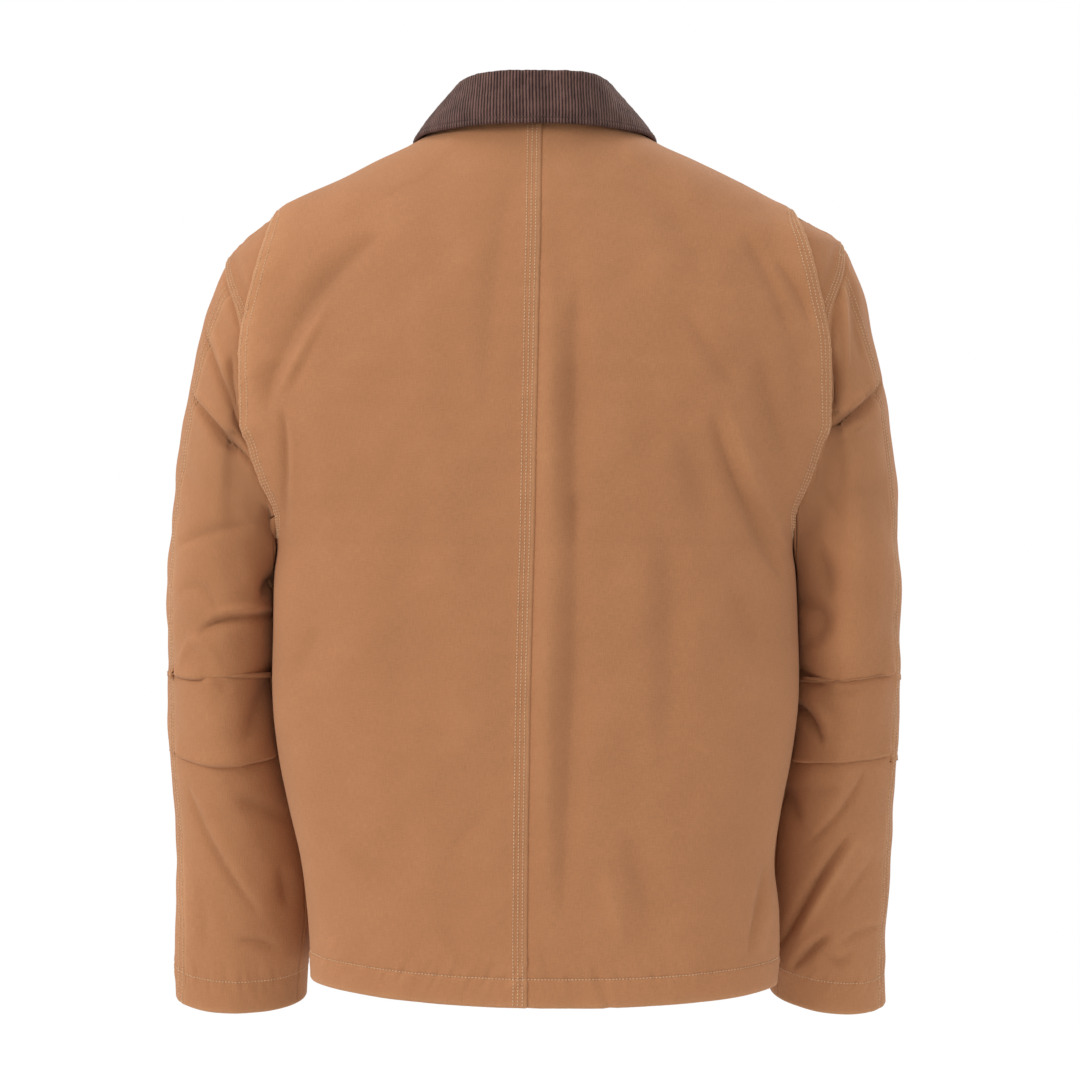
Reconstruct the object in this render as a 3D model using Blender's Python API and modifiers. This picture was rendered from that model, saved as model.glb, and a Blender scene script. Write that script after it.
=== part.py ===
"""Chore jacket: a worn, hollow form in duck canvas with a corduroy collar.

Metres, +Z up. The origin is the middle of the neck opening, level with the back neck seam.
The jacket faces -Y and the wearer's left is +X. A side is +1 for the wearer's left and -1
for the right. A face is +1 for the back and -1 for the front.
"""

import math

import bpy
import numpy as np

# Driving sizes
WALL = 0.0016            # duck canvas, with its turned edges
CORDUROY_WALL = 0.0018
SEAM_HALF = 0.0004       # half the gap between two panels at a seam
SLEEVE_SEAM_TURN = 0.022  # the same at the sleeve seams, as a turn in radians
HEM = -0.697             # height of the hem at the side seams
HEM_DROP = 0.010         # how much lower the hem hangs at the centre
HEM_TILT = 1.8           # the hem rides up to the left by this share of its drop, per metre
UNDERARM = -0.345
ARM_TOP = {1: -0.112, -1: -0.100}      # height of each shoulder point
NECK_HALF_WIDTH = 0.078
FRONT_NECK = -0.088      # height of the front neckline at the centre
BACK_TOP = -0.0010        # heights of the back's and the front's top edges
FRONT_TOP = -0.0040
LAP = 0.018              # how far each front runs past the centre line
LAP_LIFT = 0.0018        # the upper front's rise and the lower front's sink at the lap
PLEAT_TOP = -0.079       # the action pleat leaves the shoulder seam here
PLEAT_END = -0.254       # and meets the armhole here
PLEAT_LIFT = 0.0036      # the pleat's edge stands up this far
PLEAT_SINK = 0.0018      # and its underlay lies this far down behind it
PLEAT_UNDERLAP = 0.016   # how far the underlay runs in behind the pleat's edge
SLEEVE_START = 0.0025    # how far the sleeve's first ring stands off the armhole
SLEEVE_CLEAR = 0.0027    # sleeve to body, between the middles of the walls
COLLAR_OFF = 0.0029      # the collar's seam edge to the neckline, between the middles of the walls
COLLAR_CLEAR = 0.0052    # the collar's fall to the front
SHOULDER_FULL = {1: 0.55, -1: 0.80}    # how full the sleeve is below the shoulder
SLEEVE_JOIN = -0.40      # below this height the sleeve is plain rings
CUFF = -0.720
CUFF_DROP = 0.010        # the cuff hangs lower behind than before
CUFF_SWING = {1: 0.000, -1: 0.005}     # and lower on its outer side
BACK_SEAM_TURN = math.radians(34)      # sleeve seams, turned from straight out towards the back
INNER_SEAM_TURN = math.radians(152)
BUTTON_RADIUS = 0.0095
BUTTON_THICKNESS = 0.0040
BUTTON_STAND = 0.0012    # its underside off the front
BUTTON_HEIGHTS = (-0.122, -0.236, -0.350, -0.464, -0.578)
POCKET_DEPTH = 0.170
POCKET_TOP = -0.478
POCKET_INNER = 0.046     # distance from the centre line to the pocket's edges
POCKET_OUTER = 0.164
POCKET_LIFT = 0.0034

# Body sections, from the hem up: height, outline to the left and to the right, centre seam's
# x, depth behind and before the widest line, that line's y, and how square the section is.
BODY_COLUMNS = (
    "height", "left", "right", "seam_x", "back", "front", "side_y", "square_back", "square_front",
)
BODY = (
    (-0.720, 0.181, 0.193, 0.0076, 0.101, 0.154, 0.022, 2.50, 2.20),
    (-0.690, 0.181, 0.196, 0.0076, 0.101, 0.156, 0.023, 2.50, 2.20),
    (-0.640, 0.184, 0.197, 0.0076, 0.101, 0.161, 0.025, 2.50, 2.20),
    (-0.600, 0.189, 0.193, 0.0072, 0.101, 0.165, 0.027, 2.50, 2.20),
    (-0.560, 0.198, 0.198, 0.0068, 0.101, 0.169, 0.029, 2.50, 2.20),
    (-0.520, 0.206, 0.206, 0.0060, 0.101, 0.172, 0.030, 2.50, 2.20),
    (-0.475, 0.211, 0.212, 0.0054, 0.102, 0.174, 0.030, 2.50, 2.20),
    (-0.410, 0.2108, 0.2118, 0.0038, 0.105, 0.172, 0.028, 2.50, 2.20),
    (-0.370, 0.2103, 0.2103, 0.0028, 0.109, 0.168, 0.024, 2.50, 2.20),
    (-0.345, 0.2085, 0.2085, 0.0020, 0.112, 0.164, 0.021, 2.50, 2.20),
    (-0.325, 0.215, 0.215, 0.0016, 0.115, 0.160, 0.018, 2.45, 2.20),
    (-0.295, 0.236, 0.236, 0.0010, 0.119, 0.155, 0.014, 2.40, 2.20),
    (-0.255, 0.255, 0.255, 0.0004, 0.122, 0.147, 0.009, 2.35, 2.20),
    (-0.210, 0.263, 0.263, -0.0006, 0.122, 0.136, 0.004, 2.30, 2.20),
    (-0.160, 0.262, 0.264, -0.0015, 0.118, 0.120, 0.001, 2.20, 2.15),
    (-0.112, 0.250, 0.257, -0.0025, 0.106, 0.102, 0.000, 2.05, 2.05),
    (-0.100, 0.239, 0.250, -0.0028, 0.102, 0.097, 0.000, 2.00, 2.00),
    (-0.080, 0.215, 0.217, -0.0030, 0.095, 0.089, 0.000, 1.95, 1.95),
    (-0.064, 0.194, 0.192, -0.0032, 0.089, 0.083, 0.000, 1.90, 1.90),
    (-0.048, 0.158, 0.162, -0.0034, 0.082, 0.076, 0.000, 1.90, 1.90),
    (-0.034, 0.131, 0.133, -0.0036, 0.076, 0.069, 0.000, 1.90, 1.90),
    (-0.020, 0.101, 0.102, -0.0038, 0.069, 0.063, 0.000, 1.90, 1.90),
    (-0.010, 0.086, 0.086, -0.0039, 0.064, 0.059, 0.000, 1.90, 1.90),
    (0.004, 0.078, 0.078, -0.0040, 0.058, 0.055, 0.000, 1.90, 1.90),
)

# How far the armhole cuts in from the outline, by the share of its height from the top.
ARMHOLE_COLUMNS = ("share", "back", "front")
ARMHOLE = (
    (0.00, 0.000, 0.000),
    (0.12, 0.014, 0.020),
    (0.27, 0.029, 0.038),
    (0.42, 0.032, 0.046),
    (0.60, 0.024, 0.040),
    (0.70, 0.021, 0.032),
    (0.80, 0.016, 0.022),
    (0.90, 0.008, 0.010),
    (0.96, 0.003, 0.003),
    (1.00, 0.000, 0.000),
)

# The pleat's folded edge: height and distance from the centre plane.
PLEAT_COLUMNS = ("height", "out")
PLEAT = (
    (-0.254, 0.2325),
    (-0.242, 0.2330),
    (-0.214, 0.2330),
    (-0.178, 0.2318),
    (-0.153, 0.2275),
    (-0.115, 0.2185),
    (-0.079, 0.2090),
)

# The upper front's free edge and neckline: height and distance past the centre line.
FRONT_EDGE_COLUMNS = ("height", "out")
FRONT_EDGE = (
    (-0.720, -0.018),
    (-0.400, -0.018),
    (-0.120, -0.018),
    (-0.100, -0.018),
    (-0.092, -0.014),
    (-0.088, 0.002),
    (-0.080, 0.027),
    (-0.066, 0.045),
    (-0.048, 0.058),
    (-0.030, 0.067),
    (-0.012, 0.073),
    (-0.003, 0.075),
)

# Sleeve rings, from the cuff up: height, outer and inner edge on each side, half the depth,
# and the ring centre's y.
SLEEVE_COLUMNS = (
    "height", "left_outer", "left_inner", "right_outer", "right_inner", "depth", "y",
)
SLEEVE = (
    (-0.740, 0.2996, 0.192, 0.2905, 0.1965, 0.040, -0.046),
    (-0.700, 0.2992, 0.190, 0.2910, 0.1955, 0.044, -0.044),
    (-0.650, 0.2966, 0.184, 0.2924, 0.1925, 0.051, -0.041),
    (-0.600, 0.2968, 0.186, 0.2952, 0.1930, 0.058, -0.037),
    (-0.550, 0.3000, 0.196, 0.2975, 0.1975, 0.065, -0.032),
    (-0.500, 0.3018, 0.205, 0.2998, 0.2050, 0.071, -0.026),
    (-0.450, 0.3018, 0.207, 0.3005, 0.2060, 0.075, -0.020),
    (-0.400, 0.3005, 0.206, 0.2995, 0.2055, 0.078, -0.014),
)

# Elbow tucks, taken in across the under sleeve from its back seam: height, how deep each one
# bites, and how far round the sleeve it runs, in degrees.
TUCKS = ((-0.449, 0.0020, 50), (-0.512, 0.0026, 112))

# Collar stations round the neck, from the centre back to the front: turn in degrees, the
# fold's distance out and y and height, and the same for the outer edge.
COLLAR_COLUMNS = (
    "turn", "fold_x", "fold_y", "fold_z", "edge_x", "edge_y", "edge_z",
)
COLLAR = (
    (0, 0.000, 0.0610, 0.0330, 0.000, 0.0770, -0.0085),
    (28, 0.030, 0.0560, 0.0330, 0.037, 0.0717, -0.0088),
    (55, 0.053, 0.0380, 0.0305, 0.070, 0.0505, -0.0100),
    (80, 0.065, 0.0130, 0.0240, 0.094, 0.0180, -0.0120),
    (100, 0.067, -0.0140, 0.0130, 0.100, -0.0190, -0.0170),
    (122, 0.060, -0.0420, -0.0080, 0.101, -0.0560, -0.0420),
    (145, 0.044, -0.0660, -0.0360, 0.096, -0.0850, -0.0780),
    (165, 0.023, -0.0820, -0.0620, 0.084, -0.1040, -0.1060),
    (180, 0.006, -0.0880, -0.0740, 0.068, -0.1120, -0.1210),
)

# The largest folds of the body: face, x and height of each end, half width, and rise along
# the cloth's normal (a trough is below zero).
FOLD_COLUMNS = ("face", "x_from", "z_from", "x_to", "z_to", "width", "rise")
BODY_FOLDS = (
    (1, 0.163, -0.132, 0.207, -0.204, 0.014, -0.0045),
    (1, 0.196, -0.140, 0.222, -0.230, 0.014, 0.0030),
    (1, -0.046, -0.160, -0.058, -0.560, 0.034, -0.0045),
    (1, -0.146, -0.262, -0.192, -0.378, 0.016, -0.0045),
    (1, 0.120, -0.420, 0.135, -0.640, 0.030, -0.0035),
    (1, -0.166, -0.608, -0.156, -0.690, 0.014, -0.0040),
    (-1, 0.150, -0.150, 0.196, -0.260, 0.016, -0.0045),
    (-1, -0.150, -0.160, -0.194, -0.270, 0.016, -0.0045),
    (-1, 0.096, -0.300, 0.110, -0.440, 0.026, -0.0035),
    (-1, -0.090, -0.280, -0.112, -0.430, 0.026, -0.0035),
)

COLLECTION = bpy.data.collections.new("chore_jacket")


# ---------------------------------------------------------------- curves and sections

def curve(table, columns, column, at):
    """A smooth curve through one column of a table, whose first column is the place along it."""
    rows = np.array(table, float)
    rows = rows[np.argsort(rows[:, 0])]
    knots = rows[:, 0]
    values = rows[:, columns.index(column)]
    slopes = np.gradient(values, knots)
    at = np.clip(np.asarray(at, float), knots[0], knots[-1])
    i = np.clip(np.searchsorted(knots, at) - 1, 0, len(knots) - 2)
    span = knots[i + 1] - knots[i]
    t = (at - knots[i]) / span
    return (
        (1 + 2 * t) * (1 - t) ** 2 * values[i]
        + t * (1 - t) ** 2 * span * slopes[i]
        + t * t * (3 - 2 * t) * values[i + 1]
        + t * t * (t - 1) * span * slopes[i + 1]
    )


def ease(value, start, end):
    """0 before start and 1 after end, turning smoothly between them."""
    t = np.clip((value - start) / (end - start), 0, 1)
    return t * t * (3 - 2 * t)


def body(column, height):
    return curve(BODY, BODY_COLUMNS, column, height)


def outline(side, height):
    return body("left" if side > 0 else "right", height)


def face_shape(face, height):
    """Depth and squareness of the back or the front at a height."""
    name = "back" if face > 0 else "front"
    return body(name, height), body("square_" + name, height)


def across(x, height):
    """How far x is from the centre seam to the side, as a share with the side's sign."""
    offset = x - body("seam_x", height)
    reach = np.where(
        offset >= 0,
        outline(1, height) - body("seam_x", height),
        outline(-1, height) + body("seam_x", height),
    )
    return np.clip(offset / reach, -1, 1)


def body_y(face, x, height):
    """The body's y at x: a section with round sides."""
    depth, square = face_shape(face, height)
    share = np.abs(across(x, height))
    return body("side_y", height) + face * depth * (1 - share**square) ** (1 / square)


def body_row(face, x_from, x_to, height, count):
    """Points along one height, evenly turned round the section."""
    depth, square = face_shape(face, height)
    ends = across(np.array([x_from, x_to]), height)
    turns = np.sign(ends) * np.arcsin(np.abs(ends) ** (square / 2))
    turn = np.linspace(turns[0], turns[1], count)
    share = np.sign(turn) * np.abs(np.sin(turn)) ** (2 / square)
    seam = body("seam_x", height)
    reach = np.where(share >= 0, outline(1, height) - seam, outline(-1, height) + seam)
    x = seam + share * reach
    y = body("side_y", height) + face * depth * np.abs(np.cos(turn)) ** (2 / square)
    return np.column_stack([x, y, np.full(count, height)])


def armhole_x(side, face, height):
    """Where the panel ends: on the armhole, or on the outline above and below it."""
    share = np.clip((ARM_TOP[side] - height) / (ARM_TOP[side] - UNDERARM), 0, 1)
    inset = curve(ARMHOLE, ARMHOLE_COLUMNS, "back" if face > 0 else "front", share)
    return outline(side, height) - inset


def pleat_x(height):
    return curve(PLEAT, PLEAT_COLUMNS, "out", height)


def outward(grid):
    """Unit normals of a grid of points, pointing away from the body's middle line."""
    normal = np.cross(np.gradient(grid, axis=1), np.gradient(grid, axis=0))
    normal /= np.linalg.norm(normal, axis=2, keepdims=True)
    middle = grid * [1, 1, 0]
    middle[..., 2] = 0.02
    facing = np.sign((normal * middle).sum(axis=2, keepdims=True).mean())
    return normal * facing


def fold_rise(folds, face, x, height):
    """The rise of the large folds at a place on one face."""
    rise = np.zeros_like(x)
    for row in folds:
        fold = dict(zip(FOLD_COLUMNS, row))
        if fold["face"] != face:
            continue
        run = np.array([fold["x_to"] - fold["x_from"], fold["z_to"] - fold["z_from"]])
        length = np.hypot(*run)
        along = ((x - fold["x_from"]) * run[0] + (height - fold["z_from"]) * run[1]) / length
        off = ((x - fold["x_from"]) * run[1] - (height - fold["z_from"]) * run[0]) / length
        past = np.maximum(np.maximum(-along, along - length), 0)
        rise += fold["rise"] * np.exp(-(off**2 + past**2) / fold["width"] ** 2)
    return rise


# ---------------------------------------------------------------- objects

def material(name, colour, roughness):
    made = bpy.data.materials.new(name)
    made.use_nodes = True
    shader = made.node_tree.nodes["Principled BSDF"]
    shader.inputs["Base Color"].default_value = (*colour, 1)
    shader.inputs["Roughness"].default_value = roughness
    shader.inputs["Metallic"].default_value = 0
    return made


DUCK = (0.45, 0.22, 0.10)
CORDUROY = (0.085, 0.045, 0.038)
HORN = (0.06, 0.035, 0.02)


def cloth(name, grid, colour=DUCK, wall=WALL):
    """A panel: the open grid of points as a surface, with its wall from Solidify."""
    rows, columns = grid.shape[:2]
    faces = [
        (r * columns + c, r * columns + c + 1, (r + 1) * columns + c + 1, (r + 1) * columns + c)
        for r in range(rows - 1)
        for c in range(columns - 1)
    ]
    mesh = bpy.data.meshes.new(name)
    mesh.from_pydata(grid.reshape(-1, 3).tolist(), [], faces)
    mesh.shade_smooth()
    piece = bpy.data.objects.new(name, mesh)
    COLLECTION.objects.link(piece)
    mesh.materials.append(material(name, colour, 0.9))
    wall_modifier = piece.modifiers.new("wall", "SOLIDIFY")
    wall_modifier.thickness = wall
    wall_modifier.offset = 0
    return piece


# ---------------------------------------------------------------- body panels

def hem_fall(grid):
    """Lets the hem hang lower towards the centre."""
    fall = HEM_DROP * (1 - ease(grid[..., 2], HEM, -0.45))
    droop = np.clip(1 - (grid[..., 0] / 0.19) ** 2, 0, 1) - HEM_TILT * grid[..., 0]
    grid[..., 2] -= fall * droop
    return grid


def heights(shoulder):
    """Row heights of a body panel: closer together round the armhole and the shoulder."""
    low = np.linspace(HEM, UNDERARM - 0.060, 6)
    side = UNDERARM + np.array([-0.030, -0.008, 0.000, 0.005, 0.014])
    arm = UNDERARM + (shoulder - UNDERARM) * np.linspace(0.10, 1, 11)
    top = np.linspace(shoulder, BACK_TOP, 7)[1:]
    return np.concatenate([low, side, arm, top])


def back(side):
    name = "back_left" if side > 0 else "back_right"
    rows = []
    for z in heights(PLEAT_TOP):
        end = armhole_x(side, 1, z) if z < PLEAT_END or z > PLEAT_TOP else pleat_x(z)
        rows.append(body_row(1, body("seam_x", z), side * end, z, 10))
    grid = np.array(rows)
    x, z = grid[..., 0], grid[..., 2]
    edge = pleat_x(z)
    pleat = ease(side * x, edge - 0.030, edge - 0.004)
    pleat *= ease(z, PLEAT_END - 0.016, PLEAT_END + 0.004)
    pleat *= 1 - ease(z, PLEAT_TOP + 0.004, PLEAT_TOP + 0.020)
    pleat *= 0.45 + 0.55 * ease(grid[..., 1], 0.002, 0.030)
    rise = PLEAT_LIFT * pleat + fold_rise(BODY_FOLDS, 1, x, z)
    grid += outward(grid) * rise[..., None]
    grid[:, 0, 0] += side * SEAM_HALF
    grid[:, -1, 1] += SEAM_HALF
    cloth(name, hem_fall(grid))


def pleat_underlay(side):
    """The strip behind the pleat's edge, sewn to the sleeve at the armhole."""
    name = "back_pleat_left" if side > 0 else "back_pleat_right"
    rows = []
    levels = [z for z in heights(PLEAT_TOP) if PLEAT_END + 0.004 < z < PLEAT_TOP + 0.016]
    levels = sorted(levels + [ARM_TOP[side]])
    for z in levels:
        end = armhole_x(side, 1, z)
        start = min(pleat_x(z), end) - PLEAT_UNDERLAP
        rows.append(body_row(1, side * start, side * end, z, 4))
    grid = np.array(rows)
    edge = pleat_x(grid[..., 2])
    under = 1 - ease(side * grid[..., 0], edge - 0.004, edge + 0.006)
    under = np.maximum(under, ease(grid[..., 2], PLEAT_TOP - 0.004, PLEAT_TOP))
    sink = PLEAT_SINK * (1.8 - 0.8 * ease(grid[..., 1], 0.002, 0.030))
    sink *= 1 + 1.1 * ease(grid[..., 2], PLEAT_TOP - 0.004, PLEAT_TOP)
    grid -= outward(grid) * (sink * under)[..., None]
    grid[:, -1, 1] += SEAM_HALF
    cloth(name, grid)


def front_x(height):
    return curve(FRONT_EDGE, FRONT_EDGE_COLUMNS, "out", height)


def front_grid(side):
    rows = []
    for z in heights(ARM_TOP[side])[:-1].tolist() + [FRONT_TOP]:
        start = side * front_x(z) + body("seam_x", z) * (z < FRONT_NECK)
        rows.append(body_row(-1, start, side * armhole_x(side, -1, z), z, 11))
    grid = np.array(rows)
    x, z = grid[..., 0], grid[..., 2]
    lap = 1 - ease(side * x, LAP, LAP + 0.03)
    rise = side * LAP_LIFT * lap + fold_rise(BODY_FOLDS, -1, x, z)
    grid += outward(grid) * rise[..., None]
    grid[:, -1, 1] -= SEAM_HALF
    return hem_fall(grid)


def front(side):
    cloth("front_left" if side > 0 else "front_right", front_grid(side))


def pocket(side):
    """A plain patch pocket, lying on the front."""
    name = "pocket_left" if side > 0 else "pocket_right"
    rows = []
    for z in np.linspace(POCKET_TOP - POCKET_DEPTH, POCKET_TOP, 7):
        rows.append(body_row(-1, side * POCKET_INNER, side * POCKET_OUTER, z, 8))
    grid = np.array(rows)
    x, z = grid[..., 0].copy(), grid[..., 2].copy()
    lap = 1 - ease(side * x, LAP, LAP + 0.03)
    rise = POCKET_LIFT + side * LAP_LIFT * lap + fold_rise(BODY_FOLDS, -1, x, z)
    grid += outward(grid) * rise[..., None]
    cloth(name, hem_fall(grid))


# ---------------------------------------------------------------- sleeves

def armhole_loop(side, turns):
    """Points round the armhole: turn 0 at the shoulder, a quarter at the back, half below."""
    points = []
    for face in (1, -1):
        z = ARM_TOP[side] + (UNDERARM - ARM_TOP[side]) * np.linspace(0, 1, 60)
        x = side * armhole_x(side, face, z)
        half = np.column_stack([x, body_y(face, x, z), z])
        half[[0, -1], 1] = body("side_y", z[[0, -1]])
        length = np.concatenate([[0], np.cumsum(np.linalg.norm(np.diff(half, axis=0), axis=1))])
        points.append((length / length[-1], half))
    found = []
    for turn in np.mod(turns / (2 * math.pi), 1):
        share = turn * 2 if turn <= 0.5 else 2 - turn * 2
        length, half = points[0 if turn <= 0.5 else 1]
        found.append([np.interp(share, length, half[:, k]) for k in range(3)])
    return np.array(found)


def sleeve_ring(side, turns, height):
    hand = "left" if side > 0 else "right"
    outer = curve(SLEEVE, SLEEVE_COLUMNS, hand + "_outer", height)
    inner = curve(SLEEVE, SLEEVE_COLUMNS, hand + "_inner", height)
    depth = curve(SLEEVE, SLEEVE_COLUMNS, "depth", height)
    middle = curve(SLEEVE, SLEEVE_COLUMNS, "y", height)
    x = side * ((outer + inner) / 2 + (outer - inner) / 2 * np.cos(turns))
    return np.column_stack([x, middle + depth * np.sin(turns), np.full(len(turns), height)])


def sleeve_grid(side, turns):
    """Rows of a sleeve: from the armhole's loop smoothly into the plain rings, to the cuff."""
    start = armhole_loop(side, turns)
    start[:, 0] += side * SLEEVE_START
    join = sleeve_ring(side, turns, SLEEVE_JOIN)
    below = np.clip(-np.cos(turns), 0, 1) ** 2
    above = np.clip(np.cos(turns), 0, 1) ** 2
    reach = np.linalg.norm(join - start, axis=1)
    leave = np.column_stack([
        side * (0.80 - 0.90 * below - 0.30 * above),
        0 * turns,
        -0.60 + 0.05 * below - 0.25 * above,
    ]) * (reach * (0.43 + 0.20 * below))[:, None]
    down = reach * (0.8 + SHOULDER_FULL[side] * above)
    arrive = np.column_stack([0 * turns, 0 * turns, -down])
    rows = []
    for t in np.linspace(0, 1, 9)[:-1]:
        rows.append(
            (1 + 2 * t) * (1 - t) ** 2 * start
            + t * (1 - t) ** 2 * leave
            + t * t * (3 - 2 * t) * join
            + t * t * (t - 1) * arrive
        )
    levels = list(np.linspace(SLEEVE_JOIN, CUFF, 9))
    levels += [height + step for height, _, _ in TUCKS for step in (0.0, 0.011)]
    for z in sorted(levels, reverse=True):
        ring = sleeve_ring(side, turns, z)
        outward_turn = np.column_stack([side * np.cos(turns), np.sin(turns), 0 * turns])
        rows.append(ring + outward_turn * tuck_rise(turns, z)[:, None])
    grid = np.array(rows)
    below_join = np.clip((SLEEVE_JOIN - grid[..., 2]) / (SLEEVE_JOIN - CUFF), 0, 1)
    hang = CUFF_DROP * np.sin(turns) + CUFF_SWING[side] * np.cos(turns)
    grid[..., 2] -= below_join**2 * hang
    return clear_of_body(side, grid)


def tuck_rise(turns, height):
    """The cloth swells just above a tuck and is drawn in along it."""
    rise = np.zeros_like(turns)
    for level, bite, reach in TUCKS:
        caught = ease(turns, BACK_SEAM_TURN, BACK_SEAM_TURN + 0.2)
        caught = caught * (1 - ease(turns, BACK_SEAM_TURN + math.radians(reach) - 0.2,
                                    BACK_SEAM_TURN + math.radians(reach)))
        off = height - level
        shape = 0.7 * np.exp(-(((off - 0.012) / 0.010) ** 2)) - np.exp(-((off / 0.005) ** 2))
        rise += bite * shape * caught
    return rise


def clear_of_body(side, grid):
    """Presses the sleeve flat where it would run into the body's side."""
    z = np.minimum(grid[..., 2], UNDERARM - 0.002)
    offset = (grid[..., 1] - body("side_y", z))
    depth = np.where(offset > 0, body("back", z), body("front", z))
    square = np.where(offset > 0, body("square_back", z), body("square_front", z))
    seam = body("seam_x", z)
    share = (1 - np.clip(np.abs(offset) / depth, 0, 1) ** square) ** (1 / square)
    wall = side * seam + (outline(side, z) - side * seam) * share + SLEEVE_CLEAR
    near = ease(grid[..., 2], UNDERARM + 0.030, UNDERARM + 0.004)
    out = side * grid[..., 0]
    pushed = np.maximum(out, wall)
    grid[..., 0] = side * (out + (pushed - out) * near)
    return grid


def sleeve(side):
    hand = "left" if side > 0 else "right"
    gap = SLEEVE_SEAM_TURN
    full = 2 * math.pi
    under = sleeve_grid(side, np.linspace(BACK_SEAM_TURN + gap, INNER_SEAM_TURN - gap, 8))
    round_front = np.linspace(INNER_SEAM_TURN + gap, full, 11)
    over_shoulder = np.linspace(full, full + BACK_SEAM_TURN - gap, 3)[1:]
    top = sleeve_grid(side, np.concatenate([round_front, over_shoulder]))
    cloth("under_sleeve_" + hand, under)
    cloth("top_sleeve_" + hand, top)


# ---------------------------------------------------------------- collar

def neck_seam(turn):
    """A point of the neck seam, from the centre back (0 degrees) to the front (180)."""
    angle = math.radians(turn)
    if turn <= 90:
        return np.array([NECK_HALF_WIDTH * math.sin(angle), 0.059 * abs(math.cos(angle)) ** 0.9, 0.0022])
    z = 0.0022 + (FRONT_NECK - 0.0022) * (1 - math.sin(angle)) ** 0.9
    x = front_x(z)
    point = np.array([x, body_y(-1, x, z), z])
    return point + COLLAR_OFF * np.array([-x, 0, 0.03 - z]) / math.hypot(x, 0.03 - z)


def stand_off(points, clearance):
    """Moves points nearer to the front than the clearance out along its normal."""
    step = 0.0005
    for _ in range(4):
        x, y, z = points.T
        surface = body_y(-1, x, z)
        slope_x = (body_y(-1, x + step, z) - body_y(-1, x - step, z)) / (2 * step)
        slope_z = (body_y(-1, x, z + step) - body_y(-1, x, z - step)) / (2 * step)
        normal = np.column_stack([slope_x, -np.ones_like(x), slope_z])
        length = np.linalg.norm(normal, axis=1)
        gap = (surface - y) / length
        inside = (np.abs(across(x, z)) < 0.995) * ease(-z, 0.0, 0.012)
        points += normal / length[:, None] * (np.maximum(clearance - gap, 0) * inside)[:, None]
    return points


def collar_profile(side, turn):
    """Neck seam, up the stand, over the fold and down the fall at one turn."""
    fold = np.array([curve(COLLAR, COLLAR_COLUMNS, c, turn) for c in ("fold_x", "fold_y", "fold_z")])
    edge = np.array([curve(COLLAR, COLLAR_COLUMNS, c, turn) for c in ("edge_x", "edge_y", "edge_z")])
    seam = neck_seam(turn)
    out = edge - fold
    out[2] = 0
    out /= np.linalg.norm(out)
    up = np.array([0, 0, 1.0])
    fall = edge - fold
    points = np.array([
        seam,
        seam + (fold - seam) * 0.5,
        fold - out * 0.0022 - up * 0.0035,
        fold,
        fold + out * 0.0030 - up * 0.0030,
        fold + fall * 0.38 + (out + up) * 0.0010,
        fold + fall * 0.70 + (out + up) * 0.0010,
        edge,
    ])
    if turn > 90:
        points[5:] = stand_off(points[5:], COLLAR_CLEAR)
    points[:, 0] *= side
    return points


def collar():
    turns = np.linspace(0, 180, 14)
    right = [collar_profile(-1, turn) for turn in turns[::-1]]
    left = [collar_profile(1, turn) for turn in turns[1:]]
    grid = np.array(right + left)
    cloth("collar", grid, CORDUROY, CORDUROY_WALL)


# ---------------------------------------------------------------- buttons

def button(number, height):
    """A round button with a soft rim, its face square to the front."""
    x = float(body("seam_x", height))
    face = front_y(x, height)
    bpy.ops.mesh.primitive_cylinder_add(vertices=20, radius=BUTTON_RADIUS, depth=BUTTON_THICKNESS)
    piece = bpy.context.object
    piece.name = f"button_{number}"
    for collection in list(piece.users_collection):
        collection.objects.unlink(piece)
    COLLECTION.objects.link(piece)
    slope = (front_y(x, height + 0.01) - front_y(x, height - 0.01)) / 0.02
    piece.location = (x, face - BUTTON_THICKNESS / 2 - BUTTON_STAND, height)
    piece.rotation_euler = (math.pi / 2 - math.atan(slope), 0, 0)
    piece.data.materials.append(material(piece.name, HORN, 0.4))
    rim = piece.modifiers.new("rim", "BEVEL")
    rim.width = 0.0008
    rim.segments = 1
    rim.limit_method = "ANGLE"


def front_y(x, height):
    """The y of the upper front's outer face at the lap."""
    return float(body_y(-1, np.array(x), np.array(height))) - LAP_LIFT - WALL / 2


# ---------------------------------------------------------------- the jacket

def main():
    for old in list(bpy.data.objects):
        bpy.data.objects.remove(old, do_unlink=True)
    bpy.context.scene.collection.children.link(COLLECTION)
    for side in (1, -1):
        back(side)
        pleat_underlay(side)
        front(side)
        sleeve(side)
        pocket(side)
    collar()
    for number, height in enumerate(BUTTON_HEIGHTS, 1):
        button(number, height)


main()
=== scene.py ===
"""Looks of the chore jacket: a worn, hollow form in duck canvas with a corduroy collar.

Metres, +Z up, in the frame of the CAD part. The jacket faces -Y and the wearer's left is +X.
A side is +1 for the wearer's left and -1 for the right; a face is +1 for the back and -1 for
the front. Each cloth piece is a thin shell on its solid's form, with its creases added.
"""

import math

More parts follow.
